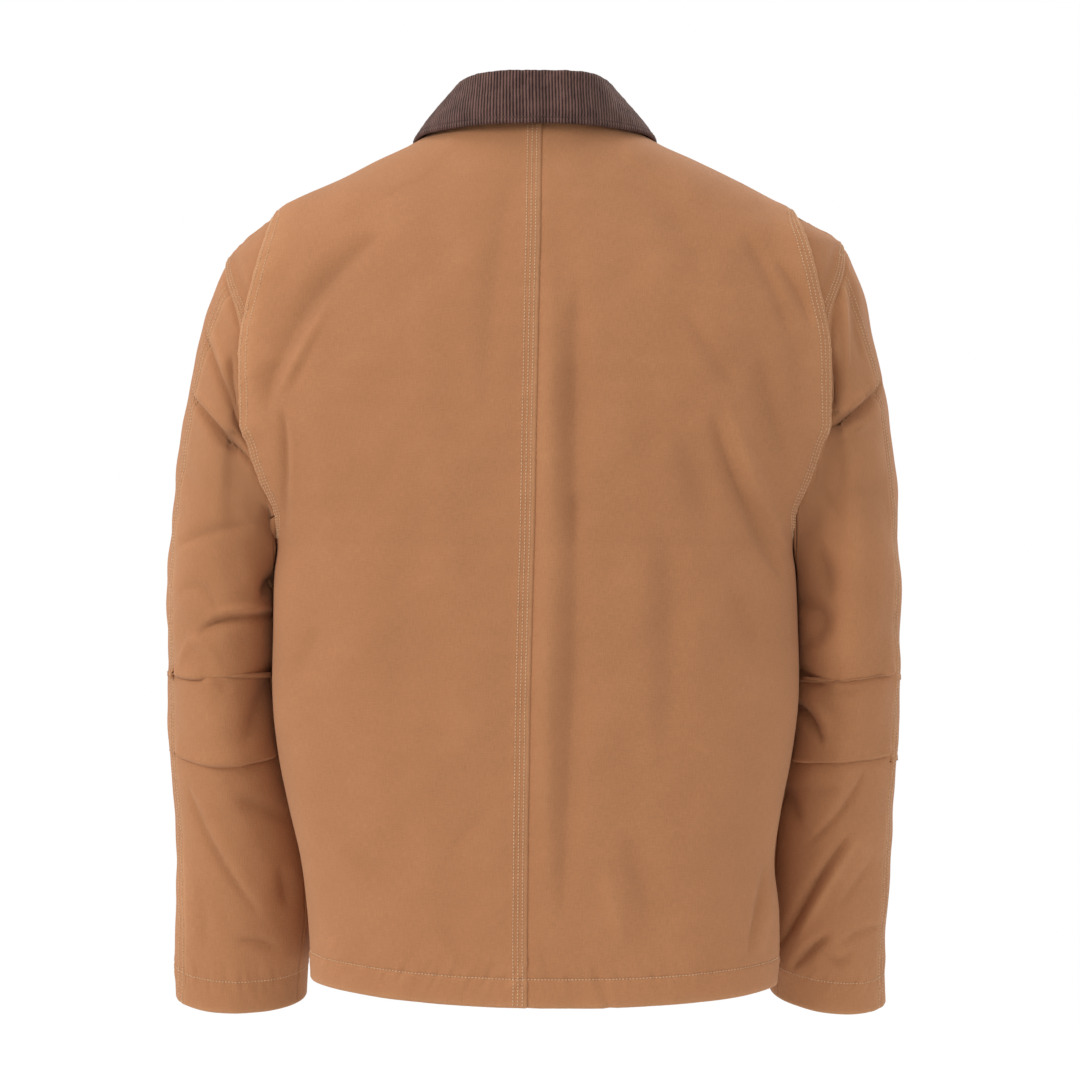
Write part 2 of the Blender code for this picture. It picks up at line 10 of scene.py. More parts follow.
import bpy
import numpy as np
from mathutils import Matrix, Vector


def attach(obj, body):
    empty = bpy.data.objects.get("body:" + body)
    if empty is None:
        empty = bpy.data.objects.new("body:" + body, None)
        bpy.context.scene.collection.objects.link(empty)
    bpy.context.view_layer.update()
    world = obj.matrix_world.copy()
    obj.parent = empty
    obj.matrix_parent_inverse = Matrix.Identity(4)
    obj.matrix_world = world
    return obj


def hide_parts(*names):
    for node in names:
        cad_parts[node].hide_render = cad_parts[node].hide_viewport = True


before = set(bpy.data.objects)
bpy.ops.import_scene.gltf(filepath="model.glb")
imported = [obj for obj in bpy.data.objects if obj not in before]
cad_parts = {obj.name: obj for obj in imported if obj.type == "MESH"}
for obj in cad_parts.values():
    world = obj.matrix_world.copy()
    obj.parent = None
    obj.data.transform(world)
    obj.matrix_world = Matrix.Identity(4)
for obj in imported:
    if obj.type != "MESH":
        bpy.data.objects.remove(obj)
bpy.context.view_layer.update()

# ---------------------------------------------------------------- sizes shared with the CAD part

WALL = 0.0016
CORDUROY_WALL = 0.0018
HEM = -0.697
HEM_DROP = 0.010
HEM_TILT = 1.8
UNDERARM = -0.345
ARM_TOP = {1: -0.112, -1: -0.100}
NECK_HALF_WIDTH = 0.078
FRONT_NECK = -0.088
BACK_TOP = -0.0010
FRONT_TOP = -0.0040
LAP = 0.018
LAP_LIFT = 0.0018
PLEAT_TOP = -0.079
PLEAT_END = -0.254
PLEAT_LIFT = 0.0036
PLEAT_SINK = 0.0018
PLEAT_UNDERLAP = 0.016
SLEEVE_CLEAR = 0.0027
COLLAR_OFF = 0.0029
COLLAR_CLEAR = 0.0052
SLEEVE_JOIN = -0.40
CUFF = -0.720
CUFF_DROP = 0.010
CUFF_SWING = {1: 0.000, -1: 0.005}
SHOULDER_FULL = {1: 0.55, -1: 0.80}
BACK_SEAM_TURN = math.radians(34)
INNER_SEAM_TURN = math.radians(152)
BUTTON_RADIUS = 0.0095
BUTTON_HEIGHTS = (-0.122, -0.236, -0.350, -0.464, -0.578)
POCKET_DEPTH = 0.170
POCKET_TOP = -0.478
POCKET_INNER = 0.046
POCKET_OUTER = 0.164
POCKET_LIFT = 0.0034

BODY_COLUMNS = (
    "height", "left", "right", "seam_x", "back", "front", "side_y", "square_back", "square_front",
)
BODY = (
    (-0.720, 0.181, 0.193, 0.0076, 0.101, 0.154, 0.022, 2.50, 2.20),
    (-0.690, 0.181, 0.196, 0.0076, 0.101, 0.156, 0.023, 2.50, 2.20),
    (-0.640, 0.184, 0.197, 0.0076, 0.101, 0.161, 0.025, 2.50, 2.20),
    (-0.600, 0.189, 0.193, 0.0072, 0.101, 0.165, 0.027, 2.50, 2.20),
    (-0.560, 0.198, 0.198, 0.0068, 0.101, 0.169, 0.029, 2.50, 2.20),
    (-0.520, 0.206, 0.206, 0.0060, 0.101, 0.172, 0.030, 2.50, 2.20),
    (-0.475, 0.211, 0.212, 0.0054, 0.102, 0.174, 0.030, 2.50, 2.20),
    (-0.410, 0.2108, 0.2118, 0.0038, 0.105, 0.172, 0.028, 2.50, 2.20),
    (-0.370, 0.2103, 0.2103, 0.0028, 0.109, 0.168, 0.024, 2.50, 2.20),
    (-0.345, 0.2085, 0.2085, 0.0020, 0.112, 0.164, 0.021, 2.50, 2.20),
    (-0.325, 0.215, 0.215, 0.0016, 0.115, 0.160, 0.018, 2.45, 2.20),
    (-0.295, 0.236, 0.236, 0.0010, 0.119, 0.155, 0.014, 2.40, 2.20),
    (-0.255, 0.255, 0.255, 0.0004, 0.122, 0.147, 0.009, 2.35, 2.20),
    (-0.210, 0.263, 0.263, -0.0006, 0.122, 0.136, 0.004, 2.30, 2.20),
    (-0.160, 0.262, 0.264, -0.0015, 0.118, 0.120, 0.001, 2.20, 2.15),
    (-0.112, 0.250, 0.257, -0.0025, 0.106, 0.102, 0.000, 2.05, 2.05),
    (-0.100, 0.239, 0.250, -0.0028, 0.102, 0.097, 0.000, 2.00, 2.00),
    (-0.080, 0.215, 0.217, -0.0030, 0.095, 0.089, 0.000, 1.95, 1.95),
    (-0.064, 0.194, 0.192, -0.0032, 0.089, 0.083, 0.000, 1.90, 1.90),
    (-0.048, 0.158, 0.162, -0.0034, 0.082, 0.076, 0.000, 1.90, 1.90),
    (-0.034, 0.131, 0.133, -0.0036, 0.076, 0.069, 0.000, 1.90, 1.90),
    (-0.020, 0.101, 0.102, -0.0038, 0.069, 0.063, 0.000, 1.90, 1.90),
    (-0.010, 0.086, 0.086, -0.0039, 0.064, 0.059, 0.000, 1.90, 1.90),
    (0.004, 0.078, 0.078, -0.0040, 0.058, 0.055, 0.000, 1.90, 1.90),
)

ARMHOLE_COLUMNS = ("share", "back", "front")
ARMHOLE = (
    (0.00, 0.000, 0.000),
    (0.12, 0.014, 0.020),
    (0.27, 0.029, 0.038),
    (0.42, 0.032, 0.046),
    (0.60, 0.024, 0.040),
    (0.70, 0.021, 0.032),
    (0.80, 0.016, 0.022),
    (0.90, 0.008, 0.010),
    (0.96, 0.003, 0.003),
    (1.00, 0.000, 0.000),
)

PLEAT_COLUMNS = ("height", "out")
PLEAT = (
    (-0.254, 0.2325),
    (-0.242, 0.2330),
    (-0.214, 0.2330),
    (-0.178, 0.2318),
    (-0.153, 0.2275),
    (-0.115, 0.2185),
    (-0.079, 0.2090),
)

FRONT_EDGE_COLUMNS = ("height", "out")
FRONT_EDGE = (
    (-0.720, -0.018),
    (-0.400, -0.018),
    (-0.120, -0.018),
    (-0.100, -0.018),
    (-0.092, -0.014),
    (-0.088, 0.002),
    (-0.080, 0.027),
    (-0.066, 0.045),
    (-0.048, 0.058),
    (-0.030, 0.067),
    (-0.012, 0.073),
    (-0.003, 0.075),
)

SLEEVE_COLUMNS = (
    "height", "left_outer", "left_inner", "right_outer", "right_inner", "depth", "y",
)
SLEEVE = (
    (-0.740, 0.2996, 0.192, 0.2905, 0.1965, 0.040, -0.046),
    (-0.700, 0.2992, 0.190, 0.2910, 0.1955, 0.044, -0.044),
    (-0.650, 0.2966, 0.184, 0.2924, 0.1925, 0.051, -0.041),
    (-0.600, 0.2968, 0.186, 0.2952, 0.1930, 0.058, -0.037),
    (-0.550, 0.3000, 0.196, 0.2975, 0.1975, 0.065, -0.032),
    (-0.500, 0.3018, 0.205, 0.2998, 0.2050, 0.071, -0.026),
    (-0.450, 0.3018, 0.207, 0.3005, 0.2060, 0.075, -0.020),
    (-0.400, 0.3005, 0.206, 0.2995, 0.2055, 0.078, -0.014),
)

# Elbow tucks: height, how deep each one bites, and how far round the sleeve it runs, in degrees.
TUCK_COLUMNS = ("height", "bite", "reach", "sag", "outer_up")
TUCKS = {
    1: ((-0.4505, 0.0034, 46, 0.001, 0.002), (-0.5135, 0.0042, 117, 0.0065, 0.001)),
    -1: ((-0.4540, 0.0034, 72, 0.0, 0.007), (-0.5200, 0.0038, 116, 0.001, 0.008)),
}

COLLAR_COLUMNS = (
    "turn", "fold_x", "fold_y", "fold_z", "edge_x", "edge_y", "edge_z",
)
COLLAR = (
    (0, 0.000, 0.0610, 0.0330, 0.000, 0.0770, -0.0085),
    (28, 0.030, 0.0560, 0.0330, 0.037, 0.0717, -0.0088),
    (55, 0.053, 0.0380, 0.0305, 0.070, 0.0505, -0.0100),
    (80, 0.065, 0.0130, 0.0240, 0.094, 0.0180, -0.0120),
    (100, 0.067, -0.0140, 0.0130, 0.100, -0.0190, -0.0170),
    (122, 0.060, -0.0420, -0.0080, 0.101, -0.0560, -0.0420),
    (145, 0.044, -0.0660, -0.0360, 0.096, -0.0850, -0.0780),
    (165, 0.023, -0.0820, -0.0620, 0.084, -0.1040, -0.1060),
    (180, 0.006, -0.0880, -0.0740, 0.068, -0.1120, -0.1210),
)


# Creases: the part they lie on, the face, three points along each one, its half width, and its
# rise along the cloth's normal (a trough is below zero).
CREASE_COLUMNS = (
    "on", "face", "x_from", "z_from", "x_mid", "z_mid", "x_to", "z_to", "width", "rise",
)
CREASES = (
    ("body", 1, 0.128, -0.104, 0.173, -0.148, 0.202, -0.201, 0.0118, -0.0045),
    ("body", 1, 0.202, -0.201, 0.210, -0.217, 0.211, -0.239, 0.0072, -0.0026),
    ("body", 1, 0.164, -0.156, 0.180, -0.187, 0.202, -0.225, 0.0040, 0.0020),
    ("body", 1, 0.170, -0.176, 0.182, -0.201, 0.193, -0.225, 0.0048, -0.0014),
    ("body", 1, 0.200, -0.242, 0.197, -0.273, 0.201, -0.335, 0.0048, -0.0032),
    ("body", 1, 0.195, -0.244, 0.193, -0.271, 0.193, -0.311, 0.0040, 0.0016),
    ("body", 1, 0.217, -0.152, 0.223, -0.183, 0.222, -0.231, 0.0064, 0.0012),
    ("body", 1, 0.020, -0.067, 0.032, -0.142, 0.038, -0.232, 0.0118, -0.0018),
    ("body", 1, 0.033, -0.548, 0.051, -0.565, 0.067, -0.587, 0.0071, -0.0010),
    ("body", 1, 0.150, -0.576, 0.128, -0.601, 0.105, -0.614, 0.0111, -0.0015),
    ("body", 1, 0.170, -0.414, 0.182, -0.432, 0.193, -0.454, 0.0080, -0.0016),
    ("body", 1, 0.072, -0.638, 0.062, -0.654, 0.051, -0.668, 0.0063, -0.0010),
    ("body", 1, 0.106, -0.359, 0.103, -0.422, 0.109, -0.485, 0.0205, -0.0018),
    ("body", 1, 0.110, -0.268, 0.113, -0.288, 0.130, -0.311, 0.0110, -0.0010),
    ("body", 1, -0.034, -0.146, -0.030, -0.248, -0.031, -0.343, 0.0103, -0.0036),
    ("body", 1, -0.031, -0.311, -0.029, -0.461, -0.022, -0.619, 0.0110, -0.0034),
    ("body", 1, -0.013, -0.122, -0.010, -0.327, -0.009, -0.595, 0.0110, 0.0020),
    ("body", 1, -0.167, -0.102, -0.186, -0.136, -0.201, -0.182, 0.0064, -0.0020),
    ("body", 1, -0.194, -0.124, -0.209, -0.146, -0.218, -0.172, 0.0048, -0.0022),
    ("body", 1, -0.120, -0.168, -0.140, -0.199, -0.159, -0.222, 0.0079, -0.0020),
    ("body", 1, -0.140, -0.248, -0.160, -0.303, -0.194, -0.371, 0.0063, -0.0036),
    ("body", 1, -0.152, -0.239, -0.174, -0.293, -0.199, -0.347, 0.0056, 0.0020),
    ("body", 1, -0.179, -0.198, -0.188, -0.241, -0.200, -0.287, 0.0104, -0.0024),
    ("body", 1, -0.113, -0.264, -0.126, -0.295, -0.137, -0.327, 0.0134, -0.0022),
    ("body", 1, -0.102, -0.343, -0.105, -0.422, -0.099, -0.516, 0.0158, -0.0022),
    ("body", 1, -0.184, -0.599, -0.178, -0.629, -0.168, -0.668, 0.0036, -0.0028),
    ("body", 1, -0.191, -0.614, -0.186, -0.641, -0.178, -0.665, 0.0040, 0.0012),
    ("body", 1, -0.047, -0.662, -0.054, -0.690, -0.066, -0.707, 0.0035, -0.0012),
    ("body", 1, -0.004, -0.653, -0.010, -0.666, -0.018, -0.683, 0.0047, -0.0009),
    ("body", 1, -0.073, -0.571, -0.081, -0.597, -0.089, -0.627, 0.0110, -0.0018),
    ("body", 1, -0.055, -0.595, -0.061, -0.619, -0.069, -0.646, 0.0079, 0.0014),
    ("body", 1, -0.155, -0.383, -0.167, -0.408, -0.175, -0.438, 0.0104, -0.0018),
    ("body", 1, -0.083, -0.067, -0.122, -0.102, -0.130, -0.146, 0.0142, -0.0016),
    ("left", 1, 0.244, -0.136, 0.237, -0.160, 0.231, -0.181, 0.0036, -0.0034),
    ("left", 1, 0.266, -0.176, 0.251, -0.218, 0.225, -0.275, 0.0029, -0.0024),
    ("left", 1, 0.258, -0.174, 0.244, -0.213, 0.219, -0.272, 0.0040, 0.0013),
    ("left", 1, 0.243, -0.198, 0.242, -0.222, 0.234, -0.245, 0.0040, -0.0036),
    ("left", 1, 0.278, -0.226, 0.256, -0.252, 0.223, -0.282, 0.0034, -0.0042),
    ("left", 1, 0.272, -0.224, 0.250, -0.248, 0.222, -0.272, 0.0032, 0.0015),
    ("left", 1, 0.261, -0.254, 0.248, -0.266, 0.237, -0.275, 0.0028, -0.0022),
    ("left", 1, 0.288, -0.349, 0.262, -0.336, 0.228, -0.331, 0.0037, -0.0015),
    ("left", 1, 0.216, -0.317, 0.209, -0.331, 0.202, -0.349, 0.0072, -0.0032),
    ("left", 1, 0.220, -0.388, 0.213, -0.378, 0.206, -0.369, 0.0056, -0.0036),
    ("left", 1, 0.286, -0.385, 0.267, -0.381, 0.253, -0.403, 0.0048, -0.0013),
    ("left", 1, 0.268, -0.416, 0.246, -0.407, 0.206, -0.404, 0.0040, -0.0032),
    ("left", 1, 0.266, -0.409, 0.244, -0.400, 0.209, -0.397, 0.0040, 0.0016),
    ("left", 1, 0.286, -0.440, 0.272, -0.423, 0.253, -0.443, 0.0036, 0.0013),
    ("left", 1, 0.208, -0.441, 0.218, -0.465, 0.233, -0.504, 0.0089, -0.0026),
    ("left", 1, 0.257, -0.453, 0.251, -0.460, 0.244, -0.459, 0.0049, -0.0012),
    ("left", 1, 0.281, -0.544, 0.261, -0.593, 0.227, -0.645, 0.0037, -0.0017),
    ("left", 1, 0.240, -0.554, 0.222, -0.560, 0.204, -0.570, 0.0073, -0.0016),
    ("left", 1, 0.208, -0.612, 0.205, -0.626, 0.203, -0.643, 0.0066, -0.0018),
    ("left", 1, 0.244, -0.670, 0.227, -0.672, 0.211, -0.678, 0.0036, -0.0016),
    ("left", 1, 0.275, -0.622, 0.271, -0.654, 0.273, -0.683, 0.0074, -0.0010),
    ("right", 1, -0.247, -0.126, -0.248, -0.166, -0.250, -0.205, 0.0029, 0.0018),
    ("right", 1, -0.255, -0.136, -0.258, -0.166, -0.263, -0.198, 0.0048, -0.0012),
    ("right", 1, -0.241, -0.150, -0.238, -0.174, -0.237, -0.192, 0.0036, -0.0016),
    ("right", 1, -0.236, -0.192, -0.242, -0.216, -0.236, -0.237, 0.0044, -0.0042),
    ("right", 1, -0.235, -0.254, -0.259, -0.240, -0.283, -0.216, 0.0035, -0.0046),
    ("right", 1, -0.237, -0.243, -0.258, -0.231, -0.275, -0.213, 0.0034, 0.0019),
    ("right", 1, -0.238, -0.262, -0.263, -0.250, -0.285, -0.229, 0.0040, 0.0012),
    ("right", 1, -0.228, -0.349, -0.232, -0.369, -0.235, -0.389, 0.0081, -0.0026),
    ("right", 1, -0.229, -0.303, -0.238, -0.315, -0.247, -0.328, 0.0056, -0.0010),
    ("right", 1, -0.208, -0.389, -0.231, -0.406, -0.220, -0.427, 0.0089, -0.0026),
    ("right", 1, -0.211, -0.443, -0.225, -0.457, -0.244, -0.458, 0.0040, -0.0022),
    ("right", 1, -0.228, -0.466, -0.246, -0.465, -0.266, -0.465, 0.0037, -0.0014),
    ("right", 1, -0.209, -0.474, -0.220, -0.486, -0.232, -0.505, 0.0037, -0.0040),
    ("right", 1, -0.215, -0.468, -0.227, -0.478, -0.238, -0.495, 0.0037, 0.0014),
    ("right", 1, -0.266, -0.530, -0.253, -0.556, -0.224, -0.588, 0.0036, -0.0019),
    ("right", 1, -0.253, -0.585, -0.227, -0.626, -0.203, -0.675, 0.0041, -0.0032),
    ("right", 1, -0.262, -0.585, -0.237, -0.626, -0.216, -0.669, 0.0041, 0.0015),
    ("right", 1, -0.239, -0.667, -0.225, -0.679, -0.212, -0.695, 0.0045, -0.0034),
    ("right", 1, -0.286, -0.662, -0.267, -0.664, -0.249, -0.674, 0.0034, -0.0015),
    ("right", 1, -0.235, -0.679, -0.247, -0.687, -0.259, -0.681, 0.0036, -0.0017),
    ("right", 1, -0.275, -0.604, -0.263, -0.622, -0.249, -0.640, 0.0041, -0.0013),
    ("right", 1, -0.201, -0.543, -0.207, -0.554, -0.215, -0.572, 0.0065, -0.0024),
    ("right", 1, -0.215, -0.546, -0.230, -0.546, -0.244, -0.543, 0.0073, -0.0012),
    ("right", 1, -0.243, -0.311, -0.261, -0.303, -0.282, -0.307, 0.0096, -0.0010),
    ("body", -1, 0.150, -0.150, 0.178, -0.200, 0.196, -0.262, 0.0120, -0.0040),
    ("body", -1, 0.132, -0.168, 0.160, -0.222, 0.176, -0.290, 0.0080, 0.0014),
    ("body", -1, -0.150, -0.160, -0.176, -0.212, -0.194, -0.272, 0.0125, -0.0038),
    ("body", -1, -0.130, -0.190, -0.150, -0.240, -0.166, -0.300, 0.0080, 0.0012),
    ("body", -1, 0.094, -0.296, 0.106, -0.370, 0.108, -0.446, 0.0190, -0.0030),
    ("body", -1, -0.088, -0.276, -0.104, -0.350, -0.112, -0.436, 0.0200, -0.0030),
    ("body", -1, 0.196, -0.320, 0.170, -0.352, 0.136, -0.372, 0.0075, -0.0022),
    ("body", -1, -0.198, -0.330, -0.168, -0.356, -0.140, -0.366, 0.0075, -0.0020),
    ("body", -1, 0.186, -0.400, 0.180, -0.448, 0.186, -0.500, 0.0090, -0.0018),
    ("body", -1, -0.184, -0.410, -0.178, -0.452, -0.182, -0.508, 0.0090, -0.0020),
    ("body", -1, 0.060, -0.130, 0.074, -0.180, 0.072, -0.236, 0.0120, -0.0016),
    ("body", -1, -0.062, -0.136, -0.078, -0.190, -0.078, -0.250, 0.0120, -0.0016),
    ("body", -1, 0.030, -0.268, 0.040, -0.288, 0.056, -0.300, 0.0050, -0.0011),
    ("body", -1, 0.026, -0.390, 0.038, -0.404, 0.054, -0.410, 0.0050, -0.0010),
    ("body", -1, 0.176, -0.580, 0.170, -0.630, 0.162, -0.680, 0.0065, -0.0022),
    ("body", -1, -0.178, -0.590, -0.174, -0.640, -0.168, -0.684, 0.0065, -0.0020),
    ("left", -1, 0.238, -0.196, 0.262, -0.240, 0.276, -0.292, 0.0070, -0.0022),
    ("left", -1, 0.222, -0.300, 0.246, -0.322, 0.276, -0.330, 0.0046, -0.0026),
    ("left", -1, 0.224, -0.316, 0.246, -0.336, 0.272, -0.346, 0.0046, 0.0012),
    ("left", -1, 0.214, -0.356, 0.238, -0.384, 0.270, -0.396, 0.0050, -0.0028),
    ("left", -1, 0.290, -0.424, 0.262, -0.442, 0.232, -0.446, 0.0044, -0.0026),
    ("left", -1, 0.220, -0.452, 0.248, -0.474, 0.284, -0.480, 0.0044, -0.0030),
    ("left", -1, 0.292, -0.500, 0.262, -0.520, 0.230, -0.522, 0.0048, -0.0024),
    ("left", -1, 0.216, -0.540, 0.240, -0.580, 0.252, -0.626, 0.0064, -0.0018),
    ("left", -1, 0.288, -0.590, 0.272, -0.628, 0.264, -0.668, 0.0056, -0.0014),
    ("left", -1, 0.212, -0.662, 0.232, -0.672, 0.254, -0.670, 0.0044, -0.0014),
    ("right", -1, -0.240, -0.190, -0.262, -0.236, -0.272, -0.286, 0.0070, -0.0022),
    ("right", -1, -0.220, -0.310, -0.248, -0.326, -0.280, -0.324, 0.0046, -0.0028),
    ("right", -1, -0.216, -0.350, -0.240, -0.372, -0.268, -0.380, 0.0050, -0.0024),
    ("right", -1, -0.288, -0.404, -0.262, -0.424, -0.230, -0.430, 0.0044, -0.0022),
    ("right", -1, -0.218, -0.462, -0.246, -0.470, -0.282, -0.464, 0.0044, -0.0030),
    ("right", -1, -0.222, -0.476, -0.250, -0.484, -0.280, -0.480, 0.0046, 0.0012),
    ("right", -1, -0.290, -0.516, -0.262, -0.526, -0.232, -0.520, 0.0048, -0.0022),
    ("right", -1, -0.276, -0.560, -0.250, -0.596, -0.228, -0.644, 0.0058, -0.0022),
    ("right", -1, -0.284, -0.640, -0.264, -0.664, -0.240, -0.672, 0.0050, -0.0016),
)

# ---------------------------------------------------------------- sizes of the looks

CLOTH_STEP = 0.0030       # spacing of a panel's points
INNER_SHARE = 0.70        # how far out the inner columns reach
INNER_COLUMNS = 0.66      # the share of the columns that they are
EVEN_REACH = 0.032        # over which a change of depth is spread
HEM_DEPTH = 0.021         # hem stitching, up from the edge
CUFF_DEPTH = 0.025
SEAM_LAP = 0.004          # the right back runs in under the left back's edge
SEAM_SINK = 0.0014
FELL = 0.0105             # width of the felled strip beside a seam
FELL_RISE = 0.0005
FOLD_RADIUS = 0.0011      # a turned edge's bend
BEND_ROWS = 4
SLEEVE_TUCK_IN = 0.006    # the sleeve's top runs in under the armhole's edge
SLEEVE_SINK = 0.0019
WALE = 0.0026             # corduroy rib spacing
WALE_HEIGHT = 0.0009
CREASE_DEPTH = {"body": 1.5, "left": 2.0, "right": 1.9}
TUCK_OVERHANG = 0.0034
TUCK_STEPS = (-0.0040, -0.0025, -0.0012, -0.0002, 0.0002, 0.0009, 0.0020, 0.0035)
STITCH = 0.0027           # spacing of topstitches
SEAM_ROWS = (0.0022, 0.0058, 0.0094)   # rows beside a felled seam, in from its edge
PLEAT_ROWS = {1: (0.0020, 0.0085), -1: (0.0020, 0.0060, 0.0100)}
EDGE_ROWS = (0.0020, 0.0085)
PLACKET = 0.040

HOLES = ((0.0017, 0.0017), (-0.0017, 0.0017), (-0.0017, -0.0017), (0.0017, -0.0017))
CANVAS_DYE = (0.430, 0.190, 0.084, 1)
# Worn canvas colour for rubbed edges, also mixed onto raised creases as rubbed wear and painted highlight.
CANVAS_WORN_AND_HIGHLIGHT = (0.600, 0.330, 0.170, 1)
# The groove colour is painted shade between the corduroy's wales; the ridge colour is the cloth's own.
CORDUROY_GROOVE_SHADE = (0.010, 0.005, 0.0045, 1)
CORDUROY_RIDGE = (0.185, 0.098, 0.082, 1)
ROOM_LIGHT = 0.66         # how strongly the pale room lights the cloth
FLOOR = -0.90
FLOOR_RADIUS = 1.3
CAMERA_X = -0.0041
CAMERA_DISTANCE = 2.6
CAMERA_HEIGHT = -0.3428
VIEW_WIDTH = 0.8856       # width of the view at the jacket's middle


# ---------------------------------------------------------------- form, as in the CAD part

def curve(table, columns, column, at):
    """A smooth curve through one column of a table, whose first column is the place along it."""
    rows = np.array(table, float)
    rows = rows[np.argsort(rows[:, 0])]
    knots = rows[:, 0]
    values = rows[:, columns.index(column)]
    slopes = np.gradient(values, knots)
    at = np.clip(np.asarray(at, float), knots[0], knots[-1])
    i = np.clip(np.searchsorted(knots, at) - 1, 0, len(knots) - 2)
    span = knots[i + 1] - knots[i]
    t = (at - knots[i]) / span
    return (
        (1 + 2 * t) * (1 - t) ** 2 * values[i]
        + t * (1 - t) ** 2 * span * slopes[i]
        + t * t * (3 - 2 * t) * values[i + 1]
        + t * t * (t - 1) * span * slopes[i + 1]
    )


def ease(value, start, end):
    """0 before start and 1 after end, turning smoothly between them."""
    t = np.clip((value - start) / (end - start), 0, 1)
    return t * t * (3 - 2 * t)


def body(column, height):
    return curve(BODY, BODY_COLUMNS, column, height)


def outline(side, height):
    return body("left" if side > 0 else "right", height)


def face_shape(face, height):
    """Depth and squareness of the back or the front at a height."""
    name = "back" if face > 0 else "front"
    return body(name, height), body("square_" + name, height)


def across(x, height):
    """How far x is from the centre seam to the side, as a share with the side's sign."""
    offset = x - body("seam_x", height)
    reach = np.where(
        offset >= 0,
        outline(1, height) - body("seam_x", height),
        outline(-1, height) + body("seam_x", height),
    )
    return np.clip(offset / reach, -1, 1)


def body_y(face, x, height):
    """The body's y at x: a section with round sides."""
    depth, square = face_shape(face, height)
    share = np.abs(across(x, height))
    return body("side_y", height) + face * depth * (1 - share**square) ** (1 / square)


def body_row(face, x_from, x_to, height, count):
    """Points along one height, evenly turned round the section."""
    depth, square = face_shape(face, height)
    ends = across(np.array([x_from, x_to]), height)
    turns = np.sign(ends) * np.arcsin(np.abs(ends) ** (square / 2))
    turn = np.linspace(turns[0], turns[1], count)
    share = np.sign(turn) * np.abs(np.sin(turn)) ** (2 / square)
    seam = body("seam_x", height)
    reach = np.where(share >= 0, outline(1, height) - seam, outline(-1, height) + seam)
    x = seam + share * reach
    y = body("side_y", height) + face * depth * np.abs(np.cos(turn)) ** (2 / square)
    return np.column_stack([x, y, np.full(count, height)])


def armhole_x(side, face, height):
    """Where the panel ends: on the armhole, or on the outline above and below it."""
    share = np.clip((ARM_TOP[side] - height) / (ARM_TOP[side] - UNDERARM), 0, 1)
    inset = curve(ARMHOLE, ARMHOLE_COLUMNS, "back" if face > 0 else "front", share)
    return outline(side, height) - inset


def pleat_x(height):
    return curve(PLEAT, PLEAT_COLUMNS, "out", height)


def outward(grid):
    """Unit normals of a grid of points, pointing away from the body's middle line."""
    normal = np.cross(np.gradient(grid, axis=1), np.gradient(grid, axis=0))
    normal /= np.linalg.norm(normal, axis=2, keepdims=True)
    middle = grid * [1, 1, 0]
    middle[..., 2] = 0.02
    facing = np.sign((normal * middle).sum(axis=2, keepdims=True).mean())
    return normal * facing


def hem_fall(grid):
    """Lets the hem hang lower towards the centre."""
    fall = HEM_DROP * (1 - ease(grid[..., 2], HEM, -0.45))
    droop = np.clip(1 - (grid[..., 0] / 0.19) ** 2, 0, 1) - HEM_TILT * grid[..., 0]
    grid[..., 2] -= fall * droop
    return grid


def front_x(height):
    return curve(FRONT_EDGE, FRONT_EDGE_COLUMNS, "out", height)


def armhole_loop(side, turns):
    """Points round the armhole: turn 0 at the shoulder, a quarter at the back, half below."""
    points = []
    for face in (1, -1):
        z = ARM_TOP[side] + (UNDERARM - ARM_TOP[side]) * np.linspace(0, 1, 60)
        x = side * armhole_x(side, face, z)
        half = np.column_stack([x, body_y(face, x, z), z])
        half[[0, -1], 1] = body("side_y", z[[0, -1]])
        length = np.concatenate([[0], np.cumsum(np.linalg.norm(np.diff(half, axis=0), axis=1))])
        points.append((length / length[-1], half))
    found = []
    for turn in np.mod(turns / (2 * math.pi), 1):
        share = turn * 2 if turn <= 0.5 else 2 - turn * 2
        length, half = points[0 if turn <= 0.5 else 1]
        found.append([np.interp(share, length, half[:, k]) for k in range(3)])
    return np.array(found)


def sleeve_ring(side, turns, height):
    hand = "left" if side > 0 else "right"
    outer = curve(SLEEVE, SLEEVE_COLUMNS, hand + "_outer", height)
    inner = curve(SLEEVE, SLEEVE_COLUMNS, hand + "_inner", height)
    depth = curve(SLEEVE, SLEEVE_COLUMNS, "depth", height)
    middle = curve(SLEEVE, SLEEVE_COLUMNS, "y", height)
    x = side * ((outer + inner) / 2 + (outer - inner) / 2 * np.cos(turns))
    return np.column_stack([x, middle + depth * np.sin(turns), np.full(len(turns), height)])


def clear_of_body(side, grid):
    """Presses the sleeve flat where it would run into the body's side."""
    z = np.minimum(grid[..., 2], UNDERARM - 0.002)
    offset = (grid[..., 1] - body("side_y", z))
    depth = np.where(offset > 0, body("back", z), body("front", z))
    square = np.where(offset > 0, body("square_back", z), body("square_front", z))
    seam = body("seam_x", z)
    share = (1 - np.clip(np.abs(offset) / depth, 0, 1) ** square) ** (1 / square)
    wall = side * seam + (outline(side, z) - side * seam) * share + SLEEVE_CLEAR
    near = ease(grid[..., 2], UNDERARM + 0.030, UNDERARM + 0.004)
    out = side * grid[..., 0]
    pushed = np.maximum(out, wall)
    grid[..., 0] = side * (out + (pushed - out) * near)
    return grid


def neck_seam(turn):
    """A point of the neck seam, from the centre back (0 degrees) to the front (180)."""
    angle = math.radians(turn)
    if turn <= 90:
        return np.array([NECK_HALF_WIDTH * math.sin(angle), 0.059 * abs(math.cos(angle)) ** 0.9, 0.0022])
    z = 0.0022 + (FRONT_NECK - 0.0022) * (1 - math.sin(angle)) ** 0.9
    x = front_x(z)
    point = np.array([x, body_y(-1, x, z), z])
    return point + COLLAR_OFF * np.array([-x, 0, 0.03 - z]) / math.hypot(x, 0.03 - z)


